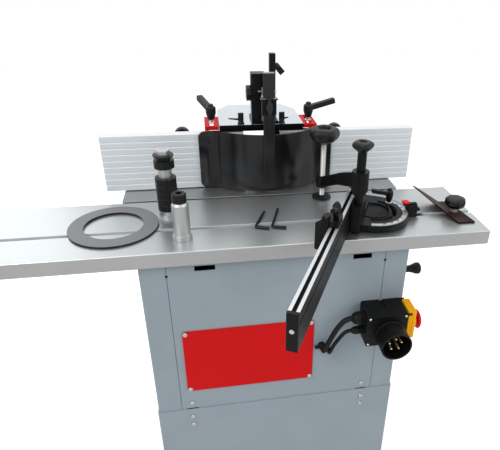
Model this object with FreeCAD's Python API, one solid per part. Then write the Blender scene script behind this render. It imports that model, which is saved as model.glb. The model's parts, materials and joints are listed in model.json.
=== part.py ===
import FreeCAD, Part
import math
import os

V = FreeCAD.Vector
UP = V(0, 0, 1)
RIGHT = V(1, 0, 0)
BACK = V(0, 1, 0)
along_share = 0.999

# General fits, in mm
overrun = 5.0
running_fit = 0.05
snug_fit = 0.02
slide_gap = 0.3
sheet = 2.0

# Machine layout
table_height = 850.0
iron_width = 610.0
iron_depth = 360.0
slide_length = 1000.0
slide_depth = 221.0
slide_thick = 30.0
slide_right = 418.0
table_gap = 6.0
front_overhang = 11.5
fence_setback = 57.0
spindle_setback = 60.0

# Cabinet and stand
cabinet_width = 518.0
cabinet_depth = 520.0
cabinet_height = 398.0
cabinet_clear = 2.0
top_plate = 3.0
cabinet_flange = 30.0
stand_step = 2.0
stand_pan = 3.0
stand_flange = 45.0
floor_bolt_pitch_x = 420.0
floor_bolt_pitch_y = 420.0
floor_hole_r = 6.0
panel_width = 421.0
panel_seam = 0.75
panel_return = 15.0
left_slot_inset = 51.5
right_slot_inset = 66.5
slot_width = 38.0
slot_height = 11.0
slot_drop = 38.0
cover_inset = 16.5
cover_right = 72.0
cover_rise = 53.5
cover_height = 157.5
cover_corner = 8.0
cover_margin = 20.0
screw_head_r = 5.0
screw_head_h = 3.0
screw_shank_r = 2.5
screw_shank = 8.0
cover_screw_inset = 6.0
panel_screw_inset = 23.0
panel_screw_rise = 17.0
stand_screw_x = 189.0
stand_screw_drop = 21.0
stand_screw_pitch = 24.0

# Iron table and its ring
iron_plate = 12.0
iron_wall = 12.0
ring_outer_r = 85.0
ring_bore_r = 55.0
ring_thick = 8.0
ring_ledge = 20.0

# Sliding table
tslot_inset = 88.0
tslot_mouth = 10.0
tslot_wide = 20.0
tslot_lip = 8.0
tslot_deep = 8.0
edge_chamfer = 3.0
rail_inset = 140.0
rail_width = 40.0
rail_length = 480.0
rail_channel = 14.0
rail_side_gap = 1.0

# Quill, spindle and drive
quill_r = 45.0
quill_length = 315.0
quill_drop = 35.0
quill_bore_r = 31.0
housing_r = 60.0
housing_flange_r = 75.0
housing_flange_h = 12.0
housing_length = 148.0
bearing_h = 16.0
bearing_inset = 20.0
shaft_r = 17.0
arbor_r = 15.0
arbor_above = 92.0
arbor_below = 4.0
shaft_flange_r = 26.0
shaft_flange_h = 8.0
collar_r = 24.0
collar_h = 22.0
pulley_gap = 4.0
pulley_h = 26.0
pulley_flange_h = 5.0
pulley_flange_rise = 5.0
spindle_pulley_r = 30.0
motor_pulley_r = 45.0
belt_thick = 4.0
motor_offset = 150.0
motor_r = 68.0
motor_h = 178.0
motor_shaft_r = 8.0
motor_shaft_in = 50.0
motor_plate_h = 12.0
motor_plate_rim = 17.0
fan_cover_h = 26.0
fin_count = 24
fin_depth = 5.0
fin_width = 3.0

# Rack, pinion and hand wheel
gear_module = 2.0
pinion_teeth = 20
pinion_width = 20.0
pressure_angle = 20.0
backlash = 0.35
rack_flat = 43.0
rack_width = 24.0
rack_pitch_offset = 50.0
rack_rise = 33.0
rack_length = 139.0
wheel_drop = 265.0
wheel_shaft_r = 8.0
bush_r = 16.0
bush_flange_r = 24.0
bush_flange_h = 8.0
bush_inside = 10.0
bracket_near = 22.0
bracket_thick = 14.0
bracket_rim = 14.0
bracket_join = 30.0
wheel_hub_r = 19.0
wheel_hub_gap = 6.0
wheel_hub_h = 34.0
wheel_rim_r = 80.0
wheel_tube_r = 9.0
wheel_spoke_r = 6.5
wheel_spokes = 3
grip_angle = 142.3
grip_pin_r = 5.0
grip_gap = 2.0
grip_length = 77.0
grip_neck_r = 9.5
grip_flare_r = 15.5
grip_cap = 6.0

# Fences, housing and lid
fence_height = 122.7
fence_lift = 2.0
fence_thick = 24.0
fence_left_outer = -342.5
fence_right_outer = 349.6
fence_mouth = 82.0
fence_grooves = 8
groove_width = 3.0
groove_depth = 1.6
fence_slot_mouth = 9.0
fence_slot_wide = 17.0
fence_slot_lip = 6.0
fence_slot_deep = 7.0
lock_height = 111.0
lock_x = 173.5
lock_stud_r = 4.0
lock_knob_r = 17.5
lock_knob_h = 18.0
hood_wall = 8.0
housing_half = 88.0
housing_back = 172.0
housing_top = 138.0
lid_half = 92.5
lid_overhang = 5.0
lid_thick = 3.0
lid_chamfer_x = 26.5
lid_chamfer_y = 45.5
lid_inset = 4.0
band_thick = 3.0
band_drop = 11.0
band_flange = 13.0
band_flange_h = 4.0
ear_inner = 93.0
ear_outer = 123.5
ear_top = 139.0
ear_thick = 8.0
ear_length = 78.0
ear_slot = 9.0
flange_outer = 235.0
flange_thick = 9.0
flange_low = 6.0
flange_high = 118.0
foot_out = 40.0
foot_h = 12.0
foot_length = 70.0
port_r = 50.0
port_wall = 3.0
port_length = 50.0
port_height = 65.0

# Levers
lever_hub_r = 11.0
lever_hub_h = 34.0
lever_arm_r = 5.0
lever_arm = 62.0
lever_stud_r = 4.0
lever_nut = 13.0
lever_nut_h = 6.0
lever_setback = 29.0
lever_rise = 18.0
lever_left_turn = 112.0
lever_right_turn = 8.0
lever_stand = 8.0
small_lever_r = 7.5

# Wing screws on the lid
wing_x = 45.0
wing_inset = 9.0
wing_hub_r = 7.5
wing_hub_h = 24.0
left_blade = 31.0
right_blade = 19.0
wing_blade_h = 4.5
guard_wing = 20.0
wing_blade_t = 3.0
wing_shank_r = 3.0

# Guard
guard_x = 8.7
post_left = -21.5
post_right = 0.5
post_depth = 25.0
post_top = 249.0
post_lip = 5.0
foot_plate = 6.0
foot_right = 37.0
foot_back = 66.0
rod_size = 13.5
rod_left = 23.0
rod_setback = 43.5
rod_top = 282.5
arm_size = 16.0
arm_gap = 4.0
arm_low = 195.0
arm_back = 62.0
strap_width = 8.0
strap_thick = 3.0
strap_left = -8.0
strap_right = 32.0
strap_gap = 0.5
sleeve_wall = 3.0
sleeve_low = 178.0
sleeve_high = 212.0
upright_width = 23.0
upright_thick = 12.0
upright_low = 14.0
upright_top = 262.0
hood_low = 3.0
hood_high = 132.0
hood_half = 147.5
hood_reach = 44.0
hood_wing_gap = 3.0
hood_arc_r = 155.0
hood_arc_turn = 31.0
hood_fillet = 35.0
hood_corner = 14.0
side_knob_r = 15.0
side_knob_h = 10.0
side_knob_height = 206.0
rod_knob_height = 254.0

# Mitre gauge
pivot_x = 202.0
bar_turn = 26.1
bar_offset = 32.5
bar_width = 17.0
bar_low = 4.5
bar_high = 67.0
bar_near = 440.5
bar_screw_drop = 28.0
bar_far = -15.0
bar_cap = 6.0
bar_slot = 6.0
bar_slot_wide = 11.0
bar_slot_lip = 4.0
bar_slot_deep = 7.0
bar_groove = 3.0
bar_groove_deep = 2.0
base_r = 66.0
base_h = 3.6
tongue_left = 130.0
tongue_right = 310.0
tongue_h = 7.0
pivot_r = 10.0
pivot_h = 14.0
pointer_left = 274.5
pointer_width = 20.0
pointer_depth = 18.0
pointer_h = 25.0
pointer_cap_r = 8.2
pointer_cap_h = 4.0
pointer_x = 270.6
pointer_arm_h = 3.0
pointer_pin_r = 4.0
pointer_pin = 8.0
dial_r = 71.5
dial_h = 12.4
dial_gap = 0.5
dial_dish = 5.0
dial_dish_inner = 18.0
dial_dish_outer = 34.0
scale_inner_r = 59.0
scale_h = 0.8
scale_low_turn = -84.0
scale_turn = 150.0
clamp_r = 43.0
clamp_turn = 51.0
clamp_slot_r = 4.6
clamp_slot_low = -5.0
clamp_slot_high = 82.0
clamp_lever_arm = 40.0
clamp_lever_hub_h = 30.0
clamp_lever_turn = 180.0
holder_thick = 20.0
holder_near = 86.0
holder_far = 30.0
holder_high = 58.0
post_r = 8.5
post_local_x = -22.0
post_local_y = -65.0
clamp_post_top = 158.0
post_collar_r = 12.0
post_collar_h = 8.0
post_knob_r = 21.0
post_knob_h = 22.0
stop_at = -180.0
stop_block_len = 34.0
stop_block_h = 11.0
stop_side = 12.0
stop_plate_t = 5.0
stop_plate_low = 24.0
stop_pin_rise = 14.0
stop_plate_over = 5.0
stop_plate_w = 22.0
stop_pin_r = 3.5
stop_lever_arm = 34.0

# Hold-down
rod_x = 120.0
rod_inset = 200.0
arm_boss_r = 16.0
arm_boss_low = 84.0
arm_boss_high = 123.0
rod_boss_r = 12.5
rod_boss_low = 27.0
rod_boss_high = 51.0
arm_web = 12.0
arm_knee = 74.0
arm_knee_low = 68.5
arm_knee_high = 92.0
arm_root_low = 90.0
arm_root_high = 116.0
screw_r = 6.0
pad_r = 20.5
pad_h = 6.0
star_low = 122.0
star_h = 36.0
star_r = 30.5
star_lobes = 5

# Edging shoe
shoe_left = 367.0
shoe_right = 403.0
shoe_near = 36.0
shoe_far = 137.0
shoe_skew = 14.0
shoe_plate = 3.0
shoe_lean = 30.0
shoe_fin_far = 130.0
shoe_fin_mid = 62.0
shoe_fin_mid_rise = 30.0
shoe_fin_rise = 58.0
shoe_bolt_x = 381.0
shoe_knob_r = 22.0
shoe_knob_low = 16.0
shoe_knob_h = 19.0
shoe_lobes = 6
shoe_hex_r = 9.0
tnut_long = 26.0

# Loose spares on the sliding table
spare_ring_x = -306.5
spare_ring_inset = 114.0
spare_ring_r = 83.5
spare_ring_thick = 4.5
spare_x = -205.5
spare_inset = 161.5
spare_foot_r = 19.5
spare_foot_h = 10.5
spare_stack_r = 20.6
spare_stack_h = 69.5
spare_collars = 5
spare_bare_r = 13.0
spare_bare_h = 20.0
spare_knurl_h = 15.5
spare_neck_h = 5.0
spare_flange_r = 19.8
spare_flange_h = 5.5
spare_hex_r = 13.5
spare_hex_h = 9.0
collet_x = -176.5
collet_inset = 53.0
collet_foot_r = 17.8
collet_foot_h = 10.5
collet_body_r = 15.5
collet_body_h = 63.5
collet_neck_h = 6.0
collet_neck_r = 11.5
collet_nut_r = 13.0
collet_nut_h = 17.5
collet_bore_r = 6.0
key_size = 6.0
key_one_x = -39.0
key_one_inset = 74.0
key_one_turn = -21.0
key_one_long = 68.0
key_two_x = -7.0
key_two_inset = 70.0
key_two_turn = -16.0
key_two_long = 80.0
key_short = 28.0

# Switch
switch_left = 168.0
switch_width = 84.0
switch_depth = 52.0
switch_drop = 151.0
switch_h = 77.0
switch_corner = 5.0
switch_lid = 10.0
switch_groove = 8.0
switch_groove_deep = 4.0
inlet_x = 218.5
inlet_drop = 201.0
inlet_r = 30.0
inlet_wall = 2.5
inlet_length = 42.0
inlet_floor = 6.0
inlet_rim = 2.5
inlet_pin_r = 2.6
inlet_pin_pcd = 13.0
inlet_pin = 20.0
inlet_pins = 5
flap_thick = 14.0
flap_wall = 2.5
flap_gap = 2.0
hinge_inset = 3.0
hinge_pin_r = 1.8
hinge_lug = 4.0
flap_margin = 4.0
flap_h = 67.0
mushroom_r = 18.5
mushroom_h = 13.0
mushroom_stem_r = 8.0
mushroom_lift = 8.0
mushroom_height = 38.0
start_r = 6.0
start_h = 5.0
start_height = 56.0
gland_depth = 26.5
gland_long = 24.0
gland_one_drop = 173.0
gland_one_r = 13.5
gland_two_drop = 204.0
gland_two_r = 8.5
lead_one_r = 5.5
lead_two_r = 4.0
entry_h = 12.0
entry_one_r = 7.5
entry_two_r = 6.0
tail_h = 8.0

# The two leads, as points between the switch and the front panel
lead_one_points = [V(144, -286.5, 677), V(132, -286.5, 677), V(118, -286.5, 661), V(108.5, -286.5, 644),
                   V(101.5, -286.5, 628), V(96, -286.5, 614), V(91, -287, 602), V(89.5, -282, 594.5),
                   V(89.5, -272, 594.5)]
lead_two_points = [V(144, -286.5, 646), V(133, -286.5, 646), V(121, -286.5, 630), V(112, -286.5, 616),
                   V(106.5, -286.5, 605), V(103, -286.5, 596), V(102, -281, 587), V(102, -272, 587)]

# Places worked out from the sizes above
cab_half = cabinet_width / 2
cab_front = -cabinet_depth / 2
cab_back = cabinet_depth / 2
cabinet_base = table_height - cabinet_height
left_slot = -panel_width / 2 + left_slot_inset
right_slot = panel_width / 2 - right_slot_inset
cover_left = -panel_width / 2 + cover_inset
cover_low = cabinet_base + cover_rise
cover_high = cover_low + cover_height
panel_screw_x = panel_width / 2 - panel_screw_inset
slide_low = table_height - slide_thick
cab_top = slide_low - cabinet_clear
slide_front = cab_front - front_overhang
slide_back = slide_front + slide_depth
slide_left = slide_right - slide_length
iron_front = slide_back + table_gap
iron_back = iron_front + iron_depth
fence_y = iron_front + fence_setback
fence_back = fence_y + fence_thick
spindle_y = fence_y + spindle_setback
tslot_y = slide_front + tslot_inset
tslot_floor = table_height - tslot_lip - tslot_deep
rail_y = slide_front + rail_inset
quill_high = table_height - quill_drop
quill_low = quill_high - quill_length
rack_low = quill_low + rack_rise
rack_high = rack_low + rack_length
shaft_y = spindle_y - rack_pitch_offset - gear_module * pinion_teeth / 2
shaft_z = table_height - wheel_drop
pulley_low = quill_low - pulley_gap - pulley_h
lid_front = fence_y + lid_overhang
lid_top = table_height + housing_top + lid_thick
lid_low = table_height + housing_top
pivot = V(pivot_x, tslot_y, 0)
stand_half_x = cab_half + stand_step
stand_half_y = cabinet_depth / 2 + stand_step
housing_front = fence_back + running_fit * 10
hood_front = fence_y - hood_reach
upright_back = hood_front
upright_front = upright_back - upright_thick
wheel_x = cab_half + bush_flange_h + wheel_hub_gap
wheel_rim_x = wheel_x + wheel_hub_h - wheel_tube_r
arm_left = post_right + arm_gap


def box(x0, x1, y0, y1, z0, z1):
    return Part.makeBox(x1 - x0, y1 - y0, z1 - z0, V(x0, y0, z0))


def cyl(x, y, z, r, h, way=UP):
    return Part.makeCylinder(r, h, V(x, y, z), way)


def prism(points, z0, z1):
    wire = Part.makePolygon([V(x, y, z0) for x, y in points] + [V(points[0][0], points[0][1], z0)])
    return Part.Face(wire).extrude(V(0, 0, z1 - z0))


def turned(profile, x, y):
    # A solid of revolution about the upright line through x, y
    points = [V(x + r, y, z) for r, z in profile]
    wire = Part.makePolygon(points + [points[0]])
    return Part.Face(wire).revolve(V(x, y, 0), UP, 360)


def edges_along(shape, way):
    found = []
    for edge in shape.Edges:
        if edge.Curve.TypeId == "Part::GeomLine":
            run = edge.Vertexes[-1].Point.sub(edge.Vertexes[0].Point)
            if abs(run.normalize().dot(way)) > along_share:
                found.append(edge)
    return found


def rounded(shape, r, way):
    return shape.makeFillet(r, edges_along(shape, way))


def fuse(shapes):
    whole = shapes[0].multiFuse(shapes[1:]) if len(shapes) > 1 else shapes[0]
    return whole.removeSplitter()


def group(shapes):
    return Part.makeCompound(shapes)


def save(name, shape):
    shape.exportStep("parts/" + name + ".step")


def hexagon(x, y, r, z0, z1):
    sides = 6
    turn = 2 * math.pi / sides
    return prism([(x + r * math.cos(turn * i), y + r * math.sin(turn * i)) for i in range(sides)], z0, z1)


def star_knob(x, y, z, r, h, lobes):
    # Lobed clamping knob with a plain hub below its lobes
    hub_share, lobe_share, ring_share, low_share = 0.45, 0.3, 0.7, 0.3
    low = h * low_share
    body = [cyl(x, y, z, r * hub_share, h), cyl(x, y, z + low, r * ring_share, h - low)]
    for i in range(lobes):
        turn = 2 * math.pi * i / lobes
        body.append(cyl(x + r * ring_share * math.cos(turn), y + r * ring_share * math.sin(turn), z + low,
                        r * lobe_share, h - low))
    return fuse(body)


def clamp_lever(x, y, z, hub_r, hub_h, arm, turn):
    # Adjustable clamp lever: barrel hub with a button on top and a rising arm
    neck_share, wide_share, cap_share, button_share, arm_share, tip_share = 0.64, 0.45, 0.78, 0.4, 0.62, 0.85
    hub = turned([(0, z), (hub_r * neck_share, z), (hub_r, z + hub_h * wide_share),
                  (hub_r, z + hub_h * cap_share), (hub_r * button_share, z + hub_h), (0, z + hub_h)], x, y)
    way = V(math.cos(math.radians(turn)), math.sin(math.radians(turn)), lever_rise / lever_arm)
    reach = way.Length * arm
    start = V(x, y, z + hub_h * arm_share)
    grip = Part.makeCone(lever_arm_r, lever_arm_r * tip_share, reach, start, way)
    return fuse([hub, grip])


def pan_screw(x, z, face_y):
    # Pan-head screw driven back into a sheet whose front is at face_y
    head = Part.makeCone(screw_head_r, screw_head_r * 0.6, screw_head_h, V(x, face_y, z), -BACK)
    return fuse([head, cyl(x, face_y, z, screw_shank_r, screw_shank, BACK)])


def screw_hole(x, z):
    return cyl(x, cab_front - overrun, z, screw_shank_r + running_fit, overrun + panel_return, BACK)


cover_screws = [(x, z) for x in (cover_left + cover_screw_inset, cover_right - cover_screw_inset)
                for z in (cover_low + cover_screw_inset, cover_high - cover_screw_inset)]
panel_screws = [(side * panel_screw_x, cabinet_base + panel_screw_rise) for side in (-1, 1)]
stand_screws = [(side * stand_screw_x, cabinet_base - stand_screw_drop - row * stand_screw_pitch)
                for side in (-1, 1) for row in (0, 1)]


def stand_shell():
    shell = box(-stand_half_x, stand_half_x, -stand_half_y, stand_half_y, 0, cabinet_base)
    shell = rounded(shell, stand_step * 2, UP)
    inner = box(-stand_half_x + sheet, stand_half_x - sheet, -stand_half_y + sheet, stand_half_y - sheet,
                stand_pan, cabinet_base - sheet)
    mouth = box(-stand_half_x + stand_flange, stand_half_x - stand_flange, -stand_half_y + stand_flange,
                stand_half_y - stand_flange, stand_pan, cabinet_base + overrun)
    shell = shell.cut(inner).cut(mouth)
    for sx in (-1, 1):
        for sy in (-1, 1):
            shell = shell.cut(cyl(sx * floor_bolt_pitch_x / 2, sy * floor_bolt_pitch_y / 2, -overrun,
                                  floor_hole_r, 2 * overrun + stand_pan))
    for x, z in stand_screws:
        shell = shell.cut(screw_hole(x, z))
    save("stand_shell", shell)


def cabinet_shell():
    shell = rounded(box(-cab_half, cab_half, cab_front, cab_back, cabinet_base, cab_top), stand_step * 2, UP)
    inner = box(-cab_half + sheet, cab_half - sheet, cab_front + sheet, cab_back - sheet,
                cabinet_base + sheet, cab_top - top_plate)
    mouth = box(-cab_half + cabinet_flange, cab_half - cabinet_flange, cab_front + cabinet_flange,
                cab_back - cabinet_flange, cabinet_base - overrun, cab_top - top_plate)
    door = box(-panel_width / 2, panel_width / 2, cab_front - overrun, cab_front + cabinet_flange,
               cabinet_base - overrun, cab_top - top_plate)
    shell = shell.cut(inner).cut(mouth).cut(door)
    shell = shell.cut(cyl(0, spindle_y, cab_top - overrun - top_plate, housing_flange_r + running_fit * 20,
                          2 * overrun + top_plate))
    shell = shell.cut(cyl(cab_half - overrun, shaft_y, shaft_z, bush_r + running_fit, 2 * overrun, RIGHT))
    save("cabinet_shell", shell)


def front_panel():
    half = panel_width / 2 - panel_seam
    high = cab_top - top_plate - panel_seam
    skin = box(-half, half, cab_front, cab_front + panel_return, cabinet_base, high)
    skin = skin.cut(box(-half + sheet, half - sheet, cab_front + sheet, cab_front + panel_return + overrun,
                        cabinet_base + sheet, high - sheet))
    hatch = box(cover_left + cover_margin, cover_right - cover_margin, cab_front - overrun,
                cab_front + panel_return,
                cover_low + cover_margin, cover_high - cover_margin)
    skin = skin.cut(hatch)
    slot_high = table_height - slot_drop
    for x0 in (left_slot, right_slot):
        skin = skin.cut(box(x0, x0 + slot_width, cab_front - overrun, cab_front + overrun,
                            slot_high - slot_height, slot_high))
    for x, z in cover_screws + panel_screws:
        skin = skin.cut(screw_hole(x, z))
    save("front_panel", skin)


def cover_plate():
    plate = box(cover_left, cover_right, cab_front - sheet, cab_front, cover_low, cover_high)
    plate = rounded(plate, cover_corner, BACK)
    for x, z in cover_screws:
        plate = plate.cut(screw_hole(x, z))
    save("cover_plate", plate)


def screws_and_pins():
    screws = [pan_screw(x, z, cab_front - sheet) for x, z in cover_screws]
    screws += [pan_screw(x, z, cab_front) for x, z in panel_screws]
    screws += [pan_screw(x, z, -stand_half_y) for x, z in stand_screws]
    save("screws_and_pins", group(screws + inlet_pin_set()))


def iron_table():
    half = iron_width / 2
    table = rounded(box(-half, half, iron_front, iron_back, cab_top, table_height), edge_chamfer, UP)
    table = table.cut(box(-half + iron_wall, half - iron_wall, iron_front + iron_wall, iron_back - iron_wall,
                          cab_top - overrun, table_height - iron_plate))
    table = table.cut(cyl(0, spindle_y, table_height - ring_thick, ring_outer_r + slide_gap, ring_thick + overrun))
    table = table.cut(cyl(0, spindle_y, cab_top, ring_outer_r - ring_ledge, slide_thick))
    save("iron_table", table)


def table_ring(x, y, z, r, thick):
    ring = cyl(x, y, z, r, thick).cut(cyl(x, y, z - overrun, ring_bore_r, thick + 2 * overrun))
    longest = max(e.Length for e in ring.Edges)
    outer = [e for e in ring.Edges if abs(e.BoundBox.ZMin - z - thick) < running_fit and e.Length > longest * along_share]
    return ring.makeChamfer(groove_depth / 2, outer)


def slide_rail():
    high = slide_low + rail_channel - slide_gap
    rail = box(-rail_length / 2, rail_length / 2, rail_y - rail_width / 2, rail_y + rail_width / 2, cab_top, high)
    save("slide_rail", rail.makeChamfer(edge_chamfer / 2, edges_along(rail, RIGHT)))


def sliding_table():
    table = box(slide_left, slide_right, slide_front, slide_back, slide_low, table_height)
    table = table.makeChamfer(edge_chamfer / 2, edges_along(table, RIGHT))
    x0, x1 = slide_left - overrun, slide_right + overrun
    table = table.cut(box(x0, x1, tslot_y - tslot_mouth / 2, tslot_y + tslot_mouth / 2, tslot_floor,
                          table_height + overrun))
    table = table.cut(box(x0, x1, tslot_y - tslot_wide / 2, tslot_y + tslot_wide / 2, tslot_floor,
                          tslot_floor + tslot_deep))
    half = rail_width / 2 + rail_side_gap
    table = table.cut(box(x0, x1, rail_y - half, rail_y + half, slide_low - overrun, slide_low + rail_channel))
    save("sliding_table", table)


def quill_housing():
    high = table_height - iron_plate
    low = high - housing_length
    body = fuse([cyl(0, spindle_y, high - housing_flange_h, housing_flange_r, housing_flange_h),
                 cyl(0, spindle_y, low, housing_r, housing_length),
                 box(bracket_near, bracket_near + bracket_thick, shaft_y - bracket_rim,
                     spindle_y - quill_r - slide_gap,
                     shaft_z - bracket_rim, low + bracket_join)])
    body = body.cut(cyl(0, spindle_y, low - overrun, quill_r + running_fit, housing_length + 2 * overrun))
    body = body.cut(box(-rack_width / 2 - slide_gap * 2, rack_width / 2 + slide_gap * 2,
                        spindle_y - housing_flange_r * 2,
                        spindle_y - rack_flat + slide_gap, low - overrun, high - housing_flange_h))
    body = body.cut(cyl(bracket_near - overrun, shaft_y, shaft_z, wheel_shaft_r + running_fit,
                        bracket_thick + 2 * overrun, RIGHT))
    save("quill_housing", body)


def quill():
    tube = cyl(0, spindle_y, quill_low, quill_r, quill_high - quill_low)
    tube = tube.cut(cyl(0, spindle_y, quill_low - overrun, quill_bore_r, quill_high - quill_low + 2 * overrun))
    flat = box(-quill_r, quill_r, spindle_y - quill_r - overrun, spindle_y - rack_flat, quill_low + motor_plate_h,
               quill_high + overrun)
    save("quill", group([tube.cut(flat)] + bearings()))


def bearings():
    places = (quill_low + bearing_inset, quill_high - bearing_inset - bearing_h)
    rings = []
    for z in places:
        ring = cyl(0, spindle_y, z, quill_bore_r - snug_fit, bearing_h)
        rings.append(ring.cut(cyl(0, spindle_y, z - overrun, shaft_r + running_fit, bearing_h + 2 * overrun)))
    return rings


def lift_rack():
    pitch = math.pi * gear_module
    tip_y = spindle_y - rack_pitch_offset - gear_module
    root_share = 1.25
    root_y = spindle_y - rack_pitch_offset + gear_module * root_share
    slope = math.tan(math.radians(pressure_angle))
    rack = box(-rack_width / 2, rack_width / 2, root_y, spindle_y - rack_flat, rack_low, rack_high)
    first = math.ceil((rack_low - shaft_z) / pitch)
    last = math.floor((rack_high - shaft_z) / pitch)
    teeth = []
    half_pitch = pitch / 4 - backlash / 2
    for i in range(first, last):
        z = shaft_z + (i + 1 / 2) * pitch
        root_half = half_pitch + slope * gear_module * root_share
        tip_half = half_pitch - slope * gear_module
        outline = [V(-pinion_width / 2, root_y, z - root_half), V(-pinion_width / 2, tip_y, z - tip_half),
                   V(-pinion_width / 2, tip_y, z + tip_half), V(-pinion_width / 2, root_y, z + root_half)]
        wire = Part.makePolygon(outline + [outline[0]])
        teeth.append(Part.Face(wire).extrude(V(pinion_width, 0, 0)))
    save("lift_rack", fuse([rack] + teeth))


def involute(base_r, r):
    roll = math.sqrt((r / base_r) ** 2 - 1)
    return roll - math.atan(roll)


def pinion():
    pitch_r = gear_module * pinion_teeth / 2
    base_r = pitch_r * math.cos(math.radians(pressure_angle))
    tip_r = pitch_r + gear_module
    root_share = 1.25
    root_r = pitch_r - gear_module * root_share
    steps = 5
    half = (math.pi * gear_module / 4 - backlash / 2) / pitch_r + involute(base_r, pitch_r)
    flank = []
    for i in range(steps + 1):
        r = base_r + (tip_r - base_r) * i / steps
        flank.append((r, half - involute(base_r, r)))
    points = []
    for tooth in range(pinion_teeth):
        mid = math.pi / 2 + 2 * math.pi * tooth / pinion_teeth
        side = [(root_r, flank[0][1])] + flank
        points += [(r, mid - turn) for r, turn in side]
        points += [(r, mid + turn) for r, turn in reversed(side)]
    outline = [V(-pinion_width / 2, shaft_y + r * math.sin(a), shaft_z + r * math.cos(a)) for r, a in points]
    return Part.Face(Part.makePolygon(outline + [outline[0]])).extrude(V(pinion_width, 0, 0))


def pinion_shaft():
    far = wheel_x + wheel_hub_h
    shaft = cyl(-pinion_width / 2, shaft_y, shaft_z, wheel_shaft_r, far + pinion_width / 2, RIGHT)
    save("pinion_shaft", fuse([pinion(), shaft]))


def shaft_bush():
    x0 = cab_half - sheet - bush_inside
    bush = fuse([cyl(x0, shaft_y, shaft_z, bush_r, bush_inside + sheet, RIGHT),
                 cyl(cab_half, shaft_y, shaft_z, bush_flange_r, bush_flange_h, RIGHT)])
    bush = bush.cut(cyl(x0 - overrun, shaft_y, shaft_z, wheel_shaft_r + running_fit,
                        bush_inside + bush_flange_h + sheet + 2 * overrun, RIGHT))
    save("shaft_bush", bush)


def grip_place():
    turn = math.radians(grip_angle)
    return shaft_y + wheel_rim_r * math.cos(turn), shaft_z + wheel_rim_r * math.sin(turn)


def handwheel():
    hub_share, hole_share = 0.7, 0.5
    hub = Part.makeCone(wheel_hub_r, wheel_hub_r * hub_share, wheel_hub_h, V(wheel_x, shaft_y, shaft_z), RIGHT)
    rim = Part.makeTorus(wheel_rim_r, wheel_tube_r, V(wheel_rim_x, shaft_y, shaft_z), RIGHT)
    pieces = [hub, rim]
    for i in range(wheel_spokes):
        turn = math.radians(grip_angle) + 2 * math.pi * i / wheel_spokes
        start = V(wheel_x + wheel_hub_h * hole_share, shaft_y, shaft_z)
        end = V(wheel_rim_x, shaft_y + wheel_rim_r * math.cos(turn), shaft_z + wheel_rim_r * math.sin(turn))
        run = end.sub(start)
        pieces.append(Part.makeCylinder(wheel_spoke_r, run.Length, start, run))
    y, z = grip_place()
    pieces.append(cyl(wheel_rim_x, y, z, grip_pin_r, wheel_tube_r + grip_gap + grip_length - grip_cap, RIGHT))
    wheel = fuse(pieces)
    wheel = wheel.cut(cyl(wheel_x - overrun, shaft_y, shaft_z, wheel_shaft_r, overrun + wheel_hub_h, RIGHT))
    save("handwheel", wheel)


def handwheel_grip():
    y, z = grip_place()
    x0 = wheel_rim_x + wheel_tube_r + grip_gap
    waist_share, flare_share = 0.45, 0.8
    profile = [(grip_pin_r + running_fit, 0), (grip_neck_r, 0), (grip_neck_r, grip_length * waist_share),
               (grip_flare_r, grip_length * flare_share), (grip_flare_r, grip_length - grip_cap / 2),
               (grip_neck_r, grip_length), (0, grip_length), (0, grip_length - grip_cap + slide_gap),
               (grip_pin_r + running_fit, grip_length - grip_cap + slide_gap)]
    points = [V(x0 + along, y + r, z) for r, along in profile]
    wire = Part.makePolygon(points + [points[0]])
    save("handwheel_grip", Part.Face(wire).revolve(V(x0, y, z), RIGHT, 360))


def spindle_shaft():
    flange_low = table_height - arbor_below - shaft_flange_h
    flange_high = table_height - arbor_below
    shaft = fuse([cyl(0, spindle_y, pulley_low - sheet, shaft_r, flange_low - pulley_low + sheet),
                  cyl(0, spindle_y, flange_low, shaft_flange_r, shaft_flange_h),
                  cyl(0, spindle_y, flange_high, arbor_r, arbor_below + arbor_above)])
    top = [e for e in shaft.Edges if abs(e.BoundBox.ZMin - table_height - arbor_above) < running_fit]
    collar = cyl(0, spindle_y, flange_high, collar_r, collar_h)
    collar = collar.cut(cyl(0, spindle_y, flange_high - overrun, arbor_r + snug_fit, collar_h + 2 * overrun))
    save("spindle_shaft", group([shaft.makeChamfer(groove_depth, top), collar]))


def pulley(x, r, bore_r):
    rim = r + pulley_flange_rise
    high = pulley_low + pulley_h
    body = turned([(bore_r, pulley_low), (rim, pulley_low), (rim, pulley_low + pulley_flange_h),
                   (r, pulley_low + pulley_flange_h), (r, high - pulley_flange_h), (rim, high - pulley_flange_h),
                   (rim, high), (bore_r, high)], x, spindle_y)
    return body


def motor_pulley():
    shaft = cyl(-motor_offset, spindle_y, pulley_low, motor_shaft_r,
                quill_low + motor_plate_h + motor_shaft_in - pulley_low)
    save("motor_pulley", group([pulley(-motor_offset, motor_pulley_r, motor_shaft_r + snug_fit), shaft]))


def belt_loop(grow):
    # Outline of a belt round both pulleys, grown outwards from their treads
    small, large = spindle_pulley_r + grow, motor_pulley_r + grow
    lean = math.asin((large - small) / motor_offset)
    a = math.pi / 2 - lean
    z = pulley_low + pulley_flange_h + slide_gap

    def at(x, r, turn):
        return V(x + r * math.cos(turn), spindle_y + r * math.sin(turn), z)
    s0, s1, s2 = at(0, small, a), at(0, small, 0), at(0, small, -a)
    m0, m1, m2 = at(-motor_offset, large, -a), at(-motor_offset, large, math.pi), at(-motor_offset, large, a)
    edges = [Part.Arc(s0, s1, s2), Part.LineSegment(s2, m0), Part.Arc(m0, m1, m2), Part.LineSegment(m2, s0)]
    return Part.Face(Part.Wire([e.toShape() for e in edges]))


def drive_belt():
    width = pulley_h - 2 * pulley_flange_h - 2 * slide_gap
    outer = belt_loop(belt_thick).extrude(V(0, 0, width))
    save("drive_belt", outer.cut(belt_loop(slide_gap).extrude(V(0, 0, width))))


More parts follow.
